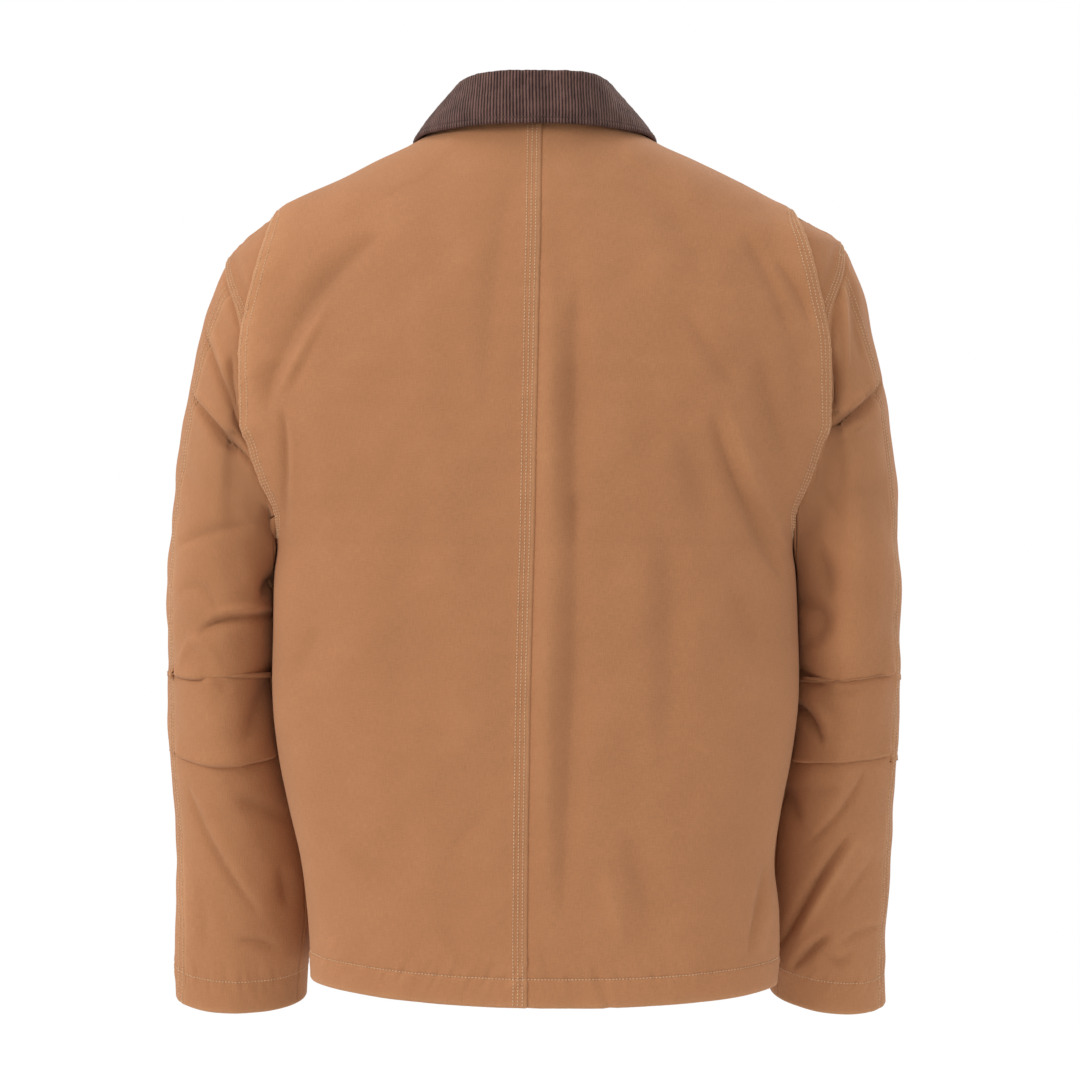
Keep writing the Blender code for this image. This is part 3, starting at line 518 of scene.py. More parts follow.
def stand_off(points, clearance):
    """Moves points nearer to the front than the clearance out along its normal."""
    step = 0.0005
    for _ in range(4):
        x, y, z = points.T
        surface = body_y(-1, x, z)
        slope_x = (body_y(-1, x + step, z) - body_y(-1, x - step, z)) / (2 * step)
        slope_z = (body_y(-1, x, z + step) - body_y(-1, x, z - step)) / (2 * step)
        normal = np.column_stack([slope_x, -np.ones_like(x), slope_z])
        length = np.linalg.norm(normal, axis=1)
        gap = (surface - y) / length
        inside = (np.abs(across(x, z)) < 0.995) * ease(-z, 0.0, 0.012)
        points += normal / length[:, None] * (np.maximum(clearance - gap, 0) * inside)[:, None]
    return points


def collar_profile(side, turn):
    """Neck seam, up the stand, over the fold and down the fall at one turn."""
    fold = np.array([curve(COLLAR, COLLAR_COLUMNS, c, turn) for c in ("fold_x", "fold_y", "fold_z")])
    edge = np.array([curve(COLLAR, COLLAR_COLUMNS, c, turn) for c in ("edge_x", "edge_y", "edge_z")])
    seam = neck_seam(turn)
    out = edge - fold
    out[2] = 0
    out /= np.linalg.norm(out)
    up = np.array([0, 0, 1.0])
    fall = edge - fold
    points = np.array([
        seam,
        seam + (fold - seam) * 0.5,
        fold - out * 0.0022 - up * 0.0035,
        fold,
        fold + out * 0.0030 - up * 0.0030,
        fold + fall * 0.38 + (out + up) * 0.0010,
        fold + fall * 0.70 + (out + up) * 0.0010,
        edge,
    ])
    if turn > 90:
        points[5:] = stand_off(points[5:], COLLAR_CLEAR)
    points[:, 0] *= side
    return points


# ---------------------------------------------------------------- cloth surface

def unit(vectors):
    return vectors / np.maximum(np.linalg.norm(vectors, axis=-1, keepdims=True), 1e-12)


def arc(grid, axis):
    """Length along a grid's rows or columns, from the first point."""
    step = np.linalg.norm(np.diff(grid, axis=axis), axis=2)
    return np.pad(np.cumsum(step, axis=axis), [(1 - axis, 0), (axis, 0)])


def crease_rise(on, face, x, z):
    """The rise of the creases at a place on one face of the body or of a sleeve."""
    rise = np.zeros_like(x)
    share = np.linspace(0, 1, 15)[:, None]
    for row in CREASES:
        crease = dict(zip(CREASE_COLUMNS, row))
        if (crease["on"], crease["face"]) != (on, face):
            continue
        start, middle, end = (
            np.array([crease["x_" + place], crease["z_" + place]]) for place in ("from", "mid", "to")
        )
        pull = 2 * middle - (start + end) / 2
        line = (1 - share) ** 2 * start + 2 * share * (1 - share) * pull + share**2 * end
        reach = 3 * crease["width"]
        near = (x > line[:, 0].min() - reach) & (x < line[:, 0].max() + reach)
        near &= (z > line[:, 1].min() - reach) & (z < line[:, 1].max() + reach)
        if not near.any():
            continue
        off = np.full(near.sum(), 1e9)
        along = np.zeros(near.sum())
        for k, (a, b) in enumerate(zip(line[:-1], line[1:])):
            run = b - a
            dx, dz = x[near] - a[0], z[near] - a[1]
            t = np.clip((dx * run[0] + dz * run[1]) / (run @ run), 0, 1)
            distance = np.hypot(dx - t * run[0], dz - t * run[1])
            closer = distance < off
            off = np.where(closer, distance, off)
            along = np.where(closer, (k + t) / (len(line) - 1), along)
        swell = np.sin(math.pi * along) ** 0.8
        width = crease["width"] * (0.55 + 0.45 * swell)
        rise[near] += CREASE_DEPTH[on] * crease["rise"] * (0.25 + 0.75 * swell) * np.exp(-((off / width) ** 1.7))
    return rise


def waves(places, length, seed):
    """A soft uneven swell, about -1 to 1, of sine waves in random directions."""
    random = np.random.default_rng(seed)
    total = np.zeros(places.shape[:-1])
    for _ in range(7):
        way = unit(random.normal(size=places.shape[-1]))
        wave = 2 * math.pi / (length * random.uniform(0.7, 1.5))
        total += np.sin(places @ way * wave + random.uniform(0, 6.3))
    return total / 2.6


def pucker(off, along, reach, depth, seed):
    """Short ripples across a line of stitching."""
    random = np.random.default_rng(seed)
    ripple = np.zeros_like(along)
    for length in (0.0068, 0.0095, 0.0133, 0.0210, 0.0370):
        lean = random.uniform(-0.5, 0.5)
        ripple += np.sin((along + lean * off) * 2 * math.pi / length + random.uniform(0, 6.3))
    return depth * ripple / 1.8 * np.exp(-((off / reach) ** 2))


def even_row(face, x_from, x_to, height, count):
    """A row of the body's form. Its inner columns keep their places as its outer end moves."""
    side = 1 if x_to > x_from else -1
    seam = float(body("seam_x", height))
    middle = seam + side * INNER_SHARE * (float(outline(side, height)) - side * seam)
    points = []
    inner = round(INNER_COLUMNS * count)
    for start, end, number in ((x_from, middle, inner), (middle, x_to, count - inner)):
        fine = body_row(face, start, end, height, 8 * number)
        length = np.concatenate([[0], np.cumsum(np.linalg.norm(np.diff(fine, axis=0), axis=1))])
        at = np.linspace(0, length[-1], number + 1)[:number] if end == middle else np.linspace(0, length[-1], number)
        points.append(np.column_stack([np.interp(at, length, fine[:, k]) for k in range(3)]))
    return np.concatenate(points)


def evened(grid, face):
    """Spreads a sudden change of depth between heights, away from the panel's side edges."""
    x, z = grid[..., 0], grid[..., 2]
    inner = 1 - ease(np.abs(across(x, z)), 0.55, 0.93)
    inner *= 1 - ease(np.abs(across(x, z + EVEN_REACH)), 0.80, 0.97)
    weights = np.hanning(13)[1:-1]
    steps = np.linspace(-EVEN_REACH, EVEN_REACH, len(weights))
    depth = sum(w * body_y(face, x, z + step) for w, step in zip(weights, steps)) / weights.sum()
    grid[..., 1] += (depth - grid[..., 1]) * inner
    return grid


def softness(grid, normal, seed):
    """Slack in the cloth of the body: it fades out towards the side seams."""
    flat = ease(np.abs(normal[..., 1]), 0.05, 0.40)
    rise = 0.00055 * waves(grid[..., (0, 2)] * [1.5, 1], 0.085, seed)
    rise += 0.00022 * waves(grid[..., (0, 2)], 0.030, seed + 1)
    return rise * flat


def panel_heights(top, step):
    """Heights of a panel's rows, closer together at the hem's stitching."""
    line = HEM + HEM_DEPTH
    levels = [z for z in np.linspace(HEM, top, round((top - HEM) / step)) if abs(z - line) > 0.0028]
    return sorted(levels + [line + off for off in (-0.0020, -0.0010, 0, 0.0010, 0.0020)])


# ---------------------------------------------------------------- pieces

def turned(grid, normal, back_rows=3, radius=FOLD_RADIUS):
    """Turns a grid's first row under: round a bend, then back along the inside."""
    out = unit(grid[0] - grid[1])
    bend = [
        grid[0] + out * radius * math.sin(turn) - normal[0] * radius * (1 - math.cos(turn))
        for turn in np.linspace(0, math.pi, BEND_ROWS + 1)[1:]
    ]
    under = [grid[k] - normal[k] * 2 * radius for k in range(1, back_rows)]
    return np.concatenate([np.array((bend + under)[::-1]), grid])


def turn_edges(grid, normal, edges):
    """Turns the named edges under. Each is (name, rows back)."""
    for name, back_rows in edges:
        flip = name in ("last_row", "last_column")
        swap = "column" in name
        shape = lambda g: (g.swapaxes(0, 1) if swap else g)[:: -1 if flip else 1]
        unshape = lambda g: (g[:: -1 if flip else 1]).swapaxes(0, 1) if swap else g[:: -1 if flip else 1]
        before = shape(grid)
        after = turned(before, shape(normal), back_rows)
        extra = len(after) - len(before)
        normals = shape(normal)
        normals = np.concatenate([np.repeat(normals[:1], extra, axis=0), normals])
        grid, normal = unshape(after), unshape(normals)
    return grid


def grid_normals(grid, like):
    """Unit normals of a grid, on the same side as a known direction down its middle column."""
    normal = unit(np.cross(np.gradient(grid, axis=1), np.gradient(grid, axis=0)))
    return normal * np.sign((normal[:, grid.shape[1] // 2] @ like).sum())


def shell(name, grid, like, material, wall=WALL, marks=None):
    """A cloth piece: two layers a wall apart, joined all round by a rounded rim."""
    normal = grid_normals(grid, like)
    rows, columns = grid.shape[:2]
    outer = grid + normal * wall / 2
    inner = grid - normal * wall / 2
    index = np.arange(rows * columns).reshape(rows, columns)
    quads = np.stack([index[:-1, :-1], index[:-1, 1:], index[1:, 1:], index[1:, :-1]], -1).reshape(-1, 4)
    loop = np.concatenate([index[0, :-1], index[:-1, -1], index[-1, :0:-1], index[:0:-1, 0]])
    flat = grid.reshape(-1, 3)
    centre = np.zeros_like(grid)
    centre[0] += unit(grid[0] - grid[1])
    centre[-1] += unit(grid[-1] - grid[-2])
    centre[:, 0] += unit(grid[:, 0] - grid[:, 1])
    centre[:, -1] += unit(grid[:, -1] - grid[:, -2])
    rim = flat[loop] + unit(centre.reshape(-1, 3)[loop]) * wall * 0.35
    count = rows * columns
    ring = np.arange(len(loop)) + 2 * count
    after = np.roll(np.arange(len(loop)), -1)
    sides = np.concatenate([
        np.stack([loop, ring, ring[after], loop[after]], -1),
        np.stack([ring, loop + count, loop[after] + count, ring[after]], -1),
    ])
    faces = np.concatenate([quads, quads[:, ::-1] + count, sides])
    points = np.concatenate([outer.reshape(-1, 3), inner.reshape(-1, 3), rim])
    a, b, c, d = (points[faces[:, k]] for k in range(4))
    volume = (np.cross(b - a, c - a) * a).sum() + (np.cross(c - a, d - a) * a).sum()
    if volume < 0:
        faces = faces[:, ::-1]
    mesh = bpy.data.meshes.new(name + "_look")
    mesh.from_pydata(points.tolist(), [], faces.tolist())
    mesh.shade_smooth()
    up_cloth = np.repeat(arc(grid, 0).mean(axis=1, keepdims=True), columns, axis=1)
    layout = np.stack([arc(grid, 1), up_cloth], -1).reshape(-1, 2)
    layout = np.concatenate([layout, layout, layout[loop]])
    corner = np.empty(len(mesh.loops), np.int32)
    mesh.loops.foreach_get("vertex_index", corner)
    mesh.uv_layers.new(name="cloth").data.foreach_set("uv", layout[corner].astype(np.float32).ravel())
    for mark, values in (marks or {}).items():
        values = np.concatenate([values.ravel(), values.ravel(), values.ravel()[loop]])
        mesh.attributes.new(mark, "FLOAT", "POINT").data.foreach_set("value", values.astype(np.float32))
    piece = bpy.data.objects.new(name + "_look", mesh)
    bpy.context.scene.collection.objects.link(piece)
    mesh.materials.append(material)
    PIECES[name] = piece
    return piece


def edge_wear(grid, edges):
    """How rubbed the cloth is, from 0 to 1: most along its turned edges."""
    along, up = arc(grid, 1), arc(grid, 0)
    away = {
        "first_column": along, "last_column": along[:, -1:] - along,
        "first_row": up, "last_row": up[-1:] - up,
    }
    wear = np.zeros(grid.shape[:2])
    for edge, _ in edges:
        wear = np.maximum(wear, np.exp(-away[edge] / 0.0022))
    return wear


def finish_panel(name, grid, like, edges, relief):
    """Turns a panel's edges and makes its shell, with its wear and its relief as marks. The relief is painted into
    the canvas as shade in troughs, hollows and sunk seams and as highlight on ridges.
    """
    normal = grid_normals(grid, like)
    whole = turn_edges(grid, normal, edges)
    extra = {edge: BEND_ROWS + back_rows - 1 for edge, back_rows in edges}
    sides = [
        [extra.get("first_row", 0), extra.get("last_row", 0)],
        [extra.get("first_column", 0), extra.get("last_column", 0)],
    ]
    marks = {
        "wear": np.pad(edge_wear(grid, edges), sides, constant_values=1),
        "relief": np.pad(relief, sides, constant_values=0),
    }
    shell(name, whole, like, CANVAS, WALL, marks)


# ---------------------------------------------------------------- stitching

def beside(grid, normal, edge, distance, start=0.0, end=1.0):
    """A line on a panel at a distance in from an edge: its points and the cloth's normals there."""
    if "column" not in edge:
        grid, normal = grid.swapaxes(0, 1), normal.swapaxes(0, 1)
    if "last" in edge:
        grid, normal = grid[:, ::-1], normal[:, ::-1]
    along = arc(grid, 1)
    first, last = int(start * (len(grid) - 1)), int(end * (len(grid) - 1))
    points, normals = [], []
    for r in range(first, last + 1):
        points.append([np.interp(distance, along[r], grid[r, :, k]) for k in range(3)])
        normals.append([np.interp(distance, along[r], normal[r, :, k]) for k in range(3)])
    return np.array(points), unit(np.array(normals))


def stitch_row(points, normals, wall=WALL, spacing=STITCH):
    """Evenly spaced stitch places along a line on the cloth, lying on its outer face."""
    length = np.concatenate([[0], np.cumsum(np.linalg.norm(np.diff(points, axis=0), axis=1))])
    at = np.arange(spacing / 2, length[-1], spacing)
    if len(at) < 2:
        return None
    here = np.column_stack([np.interp(at, length, points[:, k]) for k in range(3)])
    out = unit(np.column_stack([np.interp(at, length, normals[:, k]) for k in range(3)]))
    way = unit(np.gradient(here, axis=0))
    return here + out * (wall / 2 + 0.00008), way, out


def stitch_layer():
    """Geometry Nodes that lay one stitch at each point of a path."""
    tree = bpy.data.node_groups.new("lay_stitches", "GeometryNodeTree")
    sockets = tree.interface
    sockets.new_socket("Path", in_out="INPUT", socket_type="NodeSocketGeometry")
    sizes = (("Stitch length", 0.0021), ("Thread width", 0.00115), ("Thread height", 0.00115), ("Unevenness", 0.14))
    for name, value in sizes:
        sockets.new_socket(name, in_out="INPUT", socket_type="NodeSocketFloat").default_value = value
    sockets.new_socket("Thread", in_out="INPUT", socket_type="NodeSocketMaterial")
    sockets.new_socket("Stitches", in_out="OUTPUT", socket_type="NodeSocketGeometry")
    node = tree.nodes.new
    link = tree.links.new
    given, result = node("NodeGroupInput"), node("NodeGroupOutput")
    knot = node("GeometryNodeMeshIcoSphere")
    knot.inputs["Radius"].default_value = 0.5
    knot.inputs["Subdivisions"].default_value = 1
    smooth = node("GeometryNodeSetShadeSmooth")
    link(knot.outputs["Mesh"], smooth.inputs["Geometry"])
    turn = None
    for axis, pivot, name in (("X", "AUTO", "along"), ("Z", "X", "out")):
        read = node("GeometryNodeInputNamedAttribute")
        read.data_type = "FLOAT_VECTOR"
        read.inputs["Name"].default_value = name
        align = node("FunctionNodeAlignRotationToVector")
        align.axis, align.pivot_axis = axis, pivot
        link(read.outputs["Attribute"], align.inputs["Vector"])
        if turn:
            link(turn.outputs["Rotation"], align.inputs["Rotation"])
        turn = align
    least, most = node("ShaderNodeMath"), node("ShaderNodeMath")
    least.operation, most.operation = "SUBTRACT", "ADD"
    for change in (least, most):
        change.inputs[0].default_value = 1
        link(given.outputs["Unevenness"], change.inputs[1])
    uneven = node("FunctionNodeRandomValue")
    uneven.data_type = "FLOAT"
    uneven.inputs["Seed"].default_value = 7
    link(least.outputs[0], uneven.inputs[2])
    link(most.outputs[0], uneven.inputs[3])
    longer = node("ShaderNodeMath")
    longer.operation = "MULTIPLY"
    link(given.outputs["Stitch length"], longer.inputs[0])
    link(uneven.outputs[1], longer.inputs[1])
    size = node("ShaderNodeCombineXYZ")
    link(longer.outputs[0], size.inputs[0])
    link(given.outputs["Thread width"], size.inputs[1])
    link(given.outputs["Thread height"], size.inputs[2])
    place = node("GeometryNodeInstanceOnPoints")
    link(given.outputs["Path"], place.inputs["Points"])
    link(smooth.outputs["Geometry"], place.inputs["Instance"])
    link(turn.outputs["Rotation"], place.inputs["Rotation"])
    link(size.outputs[0], place.inputs["Scale"])
    solid = node("GeometryNodeRealizeInstances")
    dye = node("GeometryNodeSetMaterial")
    link(place.outputs["Instances"], solid.inputs["Geometry"])
    link(solid.outputs["Geometry"], dye.inputs["Geometry"])
    link(given.outputs["Thread"], dye.inputs["Material"])
    link(dye.outputs["Geometry"], result.inputs["Stitches"])
    return tree


def sew(name, rows, thread, **sizes):
    """Lays stitches along all the rows, as one plain mesh."""
    rows = [row for row in rows if row is not None]
    points, along, out = (np.concatenate([row[k] for row in rows]) for k in range(3))
    path = bpy.data.meshes.new(name + "_path")
    path.from_pydata(points.tolist(), [], [])
    for mark, values in (("along", along), ("out", out)):
        path.attributes.new(mark, "FLOAT_VECTOR", "POINT").data.foreach_set(
            "vector", values.astype(np.float32).ravel()
        )
    guide = bpy.data.objects.new(name + "_path", path)
    bpy.context.scene.collection.objects.link(guide)
    layer = guide.modifiers.new("stitches", "NODES")
    layer.node_group = STITCHES
    wanted = {"Thread": thread, **{key.replace("_", " ").capitalize(): v for key, v in sizes.items()}}
    for socket in STITCHES.interface.items_tree:
        if socket.in_out == "INPUT" and socket.name in wanted:
            layer[socket.identifier] = wanted[socket.name]
    graph = bpy.context.evaluated_depsgraph_get()
    mesh = bpy.data.meshes.new_from_object(guide.evaluated_get(graph))
    bpy.data.objects.remove(guide)
    piece = bpy.data.objects.new(name, mesh)
    piece.data.name = name
    bpy.context.scene.collection.objects.link(piece)
    STITCHING[name] = piece
    return piece


# ---------------------------------------------------------------- body panels

def level(height, top, step=CLOTH_STEP):
    """A height as a share of a body panel's rows."""
    heights = panel_heights(top, step)
    return np.searchsorted(heights, height) / (len(heights) - 1)


def hem_rise(along, up, seed):
    """The hem: a groove at its stitching, and ripples that run slantwise across it."""
    off = up - HEM_DEPTH
    groove = -0.00085 * np.exp(-((off / 0.0012) ** 2)) + 0.0004 * (1 - ease(up, HEM_DEPTH - 0.001, HEM_DEPTH + 0.002))
    return groove + pucker(off, along + 0.5 * off, 0.013, 0.00042, seed)


def back(side):
    name = "back_left" if side > 0 else "back_right"
    rows = []
    for z in panel_heights(BACK_TOP, CLOTH_STEP):
        end = armhole_x(side, 1, z) if z < PLEAT_END else min(pleat_x(z), outline(side, z))
        start = body("seam_x", z) + (SEAM_LAP if side < 0 else 0)
        rows.append(even_row(1, start, side * end, z, 92))
    grid = evened(np.array(rows), 1)
    x, z = grid[..., 0], grid[..., 2]
    edge = pleat_x(z)
    pleat = ease(side * x, edge - 0.030, edge - 0.004)
    pleat *= ease(z, PLEAT_END - 0.016, PLEAT_END + 0.004)
    pleat *= 1 - ease(z, PLEAT_TOP + 0.004, PLEAT_TOP + 0.020)
    pleat *= 0.45 + 0.55 * ease(grid[..., 1], 0.002, 0.030)
    normal = outward(grid)
    flat = ease(normal[..., 1], 0.05, 0.35)
    away, up = arc(grid, 1), arc(grid, 0)
    rim = away[:, -1:] - away
    rise = PLEAT_LIFT * pleat + crease_rise("body", 1, x, z) * flat + softness(grid, normal, 11)
    if side > 0:
        rise += FELL_RISE * (1 - ease(away, FELL, FELL + 0.0025))
    else:
        rise -= SEAM_SINK * (1 - ease(away, SEAM_LAP, SEAM_LAP + 0.006))
    rise += pucker(away - 0.006, up, 0.012, 0.00020, 21)
    rise += pucker(rim - 0.006, up, 0.013, 0.00026, 22) * flat
    rise += hem_rise(away, up, 23 + side)
    grid = hem_fall(grid + normal * rise[..., None])
    normal = grid_normals(grid, (0, 1, 0))
    rows = [
        stitch_row(*beside(grid, normal, "first_row", HEM_DEPTH, 0.01, 0.995)),
        *(stitch_row(*beside(grid, normal, "last_column", d, level(PLEAT_END - 0.004, BACK_TOP),
                             level(PLEAT_TOP, BACK_TOP))) for d in PLEAT_ROWS[side]),
        *(stitch_row(*beside(grid, normal, "last_column", d, level(UNDERARM + 0.003, BACK_TOP),
                             level(PLEAT_END - 0.002, BACK_TOP))) for d in SEAM_ROWS),
    ]
    if side > 0:
        rows += [stitch_row(*beside(grid, normal, "first_column", d)) for d in SEAM_ROWS]
    sew("stitching_" + name, rows, THREAD)
    edges = (("last_column", 6), ("first_row", 9))
    if side > 0:
        edges += (("first_column", 3),)
    # The rise goes in as the relief mark: painted shade along the sunk seam and in troughs, painted highlight on the
    # lifted pleat and on ridges.
    finish_panel(name, grid, (0, 1, 0), edges, rise)


def pleat_underlay(side):
    """The strip behind the pleat's edge, sewn to the sleeve at the armhole."""
    name = "back_pleat_left" if side > 0 else "back_pleat_right"
    rows = []
    low, high = PLEAT_END + 0.004, PLEAT_TOP + 0.016
    for z in np.linspace(low, high, 72):
        end = armhole_x(side, 1, z)
        start = min(pleat_x(z), end) - PLEAT_UNDERLAP
        rows.append(body_row(1, side * start, side * end, z, 20))
    grid = np.array(rows)
    normal = outward(grid)
    edge = pleat_x(grid[..., 2])
    under = 1 - ease(side * grid[..., 0], edge - 0.004, edge + 0.006)
    under = np.maximum(under, ease(grid[..., 2], PLEAT_TOP - 0.004, PLEAT_TOP))
    sink = PLEAT_SINK * (1.8 - 0.8 * ease(grid[..., 1], 0.002, 0.030))
    sink *= 1 + 1.1 * ease(grid[..., 2], PLEAT_TOP - 0.004, PLEAT_TOP)
    away = arc(grid, 1)
    rim = away[:, -1:] - away
    hollow = -0.0016 * np.exp(-(((rim - 0.017) / 0.006) ** 2)) + pucker(rim - 0.006, arc(grid, 0), 0.010, 0.00030, 31)
    hollow *= ease(rim, 0.001, 0.004)
    grid = grid + normal * (hollow - sink * under)[..., None]
    normal = grid_normals(grid, (0, 1, 0))
    last = (ARM_TOP[side] - low) / (high - low)
    rows = [stitch_row(*beside(grid, normal, "last_column", d, 0.0, last)) for d in SEAM_ROWS]
    sew("stitching_" + name, rows, THREAD)
    # The hollow beside the armhole seam goes in as the relief mark, painting shade into it.
    finish_panel(name, grid, (side * 0.3, 1, 0.2), (("last_column", 3),), hollow)


def front_level(height):
    return min(level(height, FRONT_TOP, 1.2 * CLOTH_STEP), 1.0)


def front_rise(side, grid, normal):
    """What lifts the front off its plain form. A pocket on it takes the same."""
    x, z = grid[..., 0], grid[..., 2]
    flat = ease(-normal[..., 1], 0.05, 0.35)
    lap = 1 - ease(side * x, LAP, LAP + 0.03)
    return side * LAP_LIFT * lap + crease_rise("body", -1, x, z) * flat + softness(grid, normal, 14)


def front(side):
    name = "front_left" if side > 0 else "front_right"
    rows = []
    for z in panel_heights(FRONT_TOP, 1.2 * CLOTH_STEP):
        start = side * front_x(z) + body("seam_x", z) * (z < FRONT_NECK)
        rows.append(even_row(-1, start, side * armhole_x(side, -1, z), z, 80))
    grid = evened(np.array(rows), -1)
    normal = outward(grid)
    flat = ease(-normal[..., 1], 0.05, 0.35)
    away, up = arc(grid, 1), arc(grid, 0)
    rim = away[:, -1:] - away
    rise = front_rise(side, grid, normal)
    rise += pucker(rim - 0.006, up, 0.013, 0.00026, 25) * flat + hem_rise(away, up, 27 + side)
    if side > 0:
        rise += pucker(away - PLACKET, up, 0.010, 0.00016, 28)
        rise += pucker(away - EDGE_ROWS[0], up, 0.006, 0.00012, 29)
    grid = hem_fall(grid + normal * rise[..., None])
    normal = grid_normals(grid, (0, -1, 0))
    rows = [
        stitch_row(*beside(grid, normal, "first_row", HEM_DEPTH, 0.01, 0.995)),
        *(stitch_row(*beside(grid, normal, "last_column", d, front_level(UNDERARM + 0.003),
                             front_level(ARM_TOP[side]))) for d in SEAM_ROWS),
        *(stitch_row(*beside(grid, normal, "last_column", d, front_level(ARM_TOP[side]), 1.0))
          for d in EDGE_ROWS),
    ]
    if side > 0:
        rows += [
            stitch_row(*beside(grid, normal, "first_column", d, 0.0, front_level(FRONT_NECK - 0.014)))
            for d in (EDGE_ROWS[0], PLACKET)
        ]
    sew("stitching_" + name, rows, THREAD)
    if side > 0:
        sew_buttonholes(grid, normal)
    edges = (("first_column", 5), ("last_column", 4), ("first_row", 9))
    finish_panel(name, grid, (0, -1, 0), edges, rise)


def sew_buttonholes(grid, normal):
    """Close stitches round a slit, outwards from under each button."""
    rows = []
    for height in BUTTON_HEIGHTS:
        r = int(front_level(height) * (len(grid) - 1))
        for lift in (0.0009, -0.0009):
            away = arc(grid[r : r + 1], 1)[0]
            start = LAP - 0.003 + BUTTON_RADIUS * 0.2
            reach = np.arange(start, start + 0.0175, 0.0008)
            places = np.column_stack([np.interp(reach, away, grid[r, :, k]) for k in range(3)])
            out = unit(np.column_stack([np.interp(reach, away, normal[r, :, k]) for k in range(3)]))
            places = places + out * (WALL / 2 + 0.0001)
            places[:, 2] += lift
            way = np.tile([0.15, 0.0, 1.0], (len(places), 1))
            rows.append((places, unit(way - out * (way * out).sum(1, keepdims=True)), out))
    sew("buttonholes", rows, THREAD, stitch_length=0.0021, thread_width=0.00075)


def pocket(side):
    """A patch pocket with a turned top, lying on the front."""
    name = "pocket_left" if side > 0 else "pocket_right"
    rows = [
        body_row(-1, side * POCKET_INNER, side * POCKET_OUTER, z, 46)
        for z in np.linspace(POCKET_TOP - POCKET_DEPTH, POCKET_TOP, 66)
    ]
    grid = np.array(rows)
    normal = outward(grid)
    away, up = arc(grid, 1), arc(grid, 0)
    rise = POCKET_LIFT + front_rise(side, grid, normal)
    mouth = ease(up, 0.10, 0.168) * np.sin(math.pi * np.clip(away / away[:, -1:], 0, 1))
    rise += 0.0012 * mouth
    for off, along in ((away, up), (away[:, -1:] - away, up), (up, away), (up[-1:] - up - 0.020, away)):
        rise += pucker(off - 0.005, along, 0.009, 0.00020, 33)
    grid = hem_fall(grid + normal * rise[..., None])
    normal = grid_normals(grid, (0, -1, 0))
    rows = [
        stitch_row(*beside(grid, normal, edge, d, 0.02, 0.98))
        for edge in ("first_column", "last_column", "first_row")
        for d in EDGE_ROWS
    ]
    rows += [stitch_row(*beside(grid, normal, "last_row", d, 0.02, 0.98)) for d in (0.020, 0.0262)]
    sew("stitching_" + name, rows, THREAD)
    edges = (("first_column", 3), ("last_column", 3), ("first_row", 3), ("last_row", 7))
    finish_panel(name, grid, (0, -1, 0), edges, rise - POCKET_LIFT)


# ---------------------------------------------------------------- sleeves

def tucked(side, turns, height):
    """How far a tuck swells the cloth out above its line and draws it in below, and its overhang."""
    rise, drop = np.zeros_like(turns), np.zeros_like(turns)
    for row in TUCKS[side]:
        tuck = dict(zip(TUCK_COLUMNS, row))
        end = BACK_SEAM_TURN + math.radians(tuck["reach"])
        caught = ease(turns, BACK_SEAM_TURN, BACK_SEAM_TURN + 0.16) * (1 - ease(turns, end - 0.20, end))
        share = np.clip((turns - BACK_SEAM_TURN) / (end - BACK_SEAM_TURN), 0, 1)
        off = height - tuck["height"]
        if off > 0:
            shape = 0.95 * math.exp(-off / 0.010)
            drop += TUCK_OVERHANG * math.exp(-off / 0.0045)
        else:
            shape = -0.70 * math.exp(off / 0.006)
        rise += tuck["bite"] * shape * caught
        lean = tuck["sag"] * np.sin(math.pi * share) - tuck["outer_up"] * (1 - share)
        drop += lean * math.exp(-((off / 0.026) ** 2))
    return rise, drop


def sleeve_form(side, turns):
    """Rows of a sleeve, from inside the armhole's edge smoothly into plain rings, to the cuff."""
    start = armhole_loop(side, turns)
    sink = np.column_stack([0 * turns, np.sin(turns), np.clip(np.cos(turns), 0, 1)])
    start = start - SLEEVE_SINK * sink
    inside = start + SLEEVE_TUCK_IN * np.column_stack(
        [-side * np.ones_like(turns), 0 * turns, 0.4 * np.clip(np.cos(turns), 0, 1)]
    )
    join = sleeve_ring(side, turns, SLEEVE_JOIN)
    below = np.clip(-np.cos(turns), 0, 1) ** 2
    above = np.clip(np.cos(turns), 0, 1) ** 2
    reach = np.linalg.norm(join - start, axis=1)
    leave = np.column_stack([
        side * (0.80 - 0.90 * below - 0.30 * above),
        0 * turns,
        -0.60 + 0.05 * below - 0.25 * above,
    ]) * (reach * (0.43 + 0.20 * below))[:, None]
    down = reach * (0.8 + SHOULDER_FULL[side] * above)
    arrive = np.column_stack([0 * turns, 0 * turns, -down])
    rows = [inside, (inside + start) / 2]
    for t in np.linspace(0, 1, 76)[:-1]:
        rows.append(
            (1 + 2 * t) * (1 - t) ** 2 * start
            + t * (1 - t) ** 2 * leave
            + t * t * (3 - 2 * t) * join
            + t * t * (t - 1) * arrive
        )
    levels = list(np.arange(SLEEVE_JOIN, CUFF, -CLOTH_STEP)) + [CUFF]
    for row in TUCKS[side]:
        levels = [z for z in levels if abs(z - row[0]) > 0.0045]
        levels += [row[0] + step for step in TUCK_STEPS]
    for z in sorted(levels, reverse=True):
        ring = sleeve_ring(side, turns, z)
        out = np.column_stack([side * np.cos(turns), np.sin(turns), 0 * turns])
        rise, drop = tucked(side, turns, z)
        ring = ring + out * rise[:, None]
        ring[:, 2] -= drop
        rows.append(ring)
    grid = np.array(rows)
    below_join = np.clip((SLEEVE_JOIN - grid[..., 2]) / (SLEEVE_JOIN - CUFF), 0, 1)
    hang = CUFF_DROP * np.sin(turns) + CUFF_SWING[side] * np.cos(turns)
    grid[..., 2] -= below_join**2 * hang
    return grid


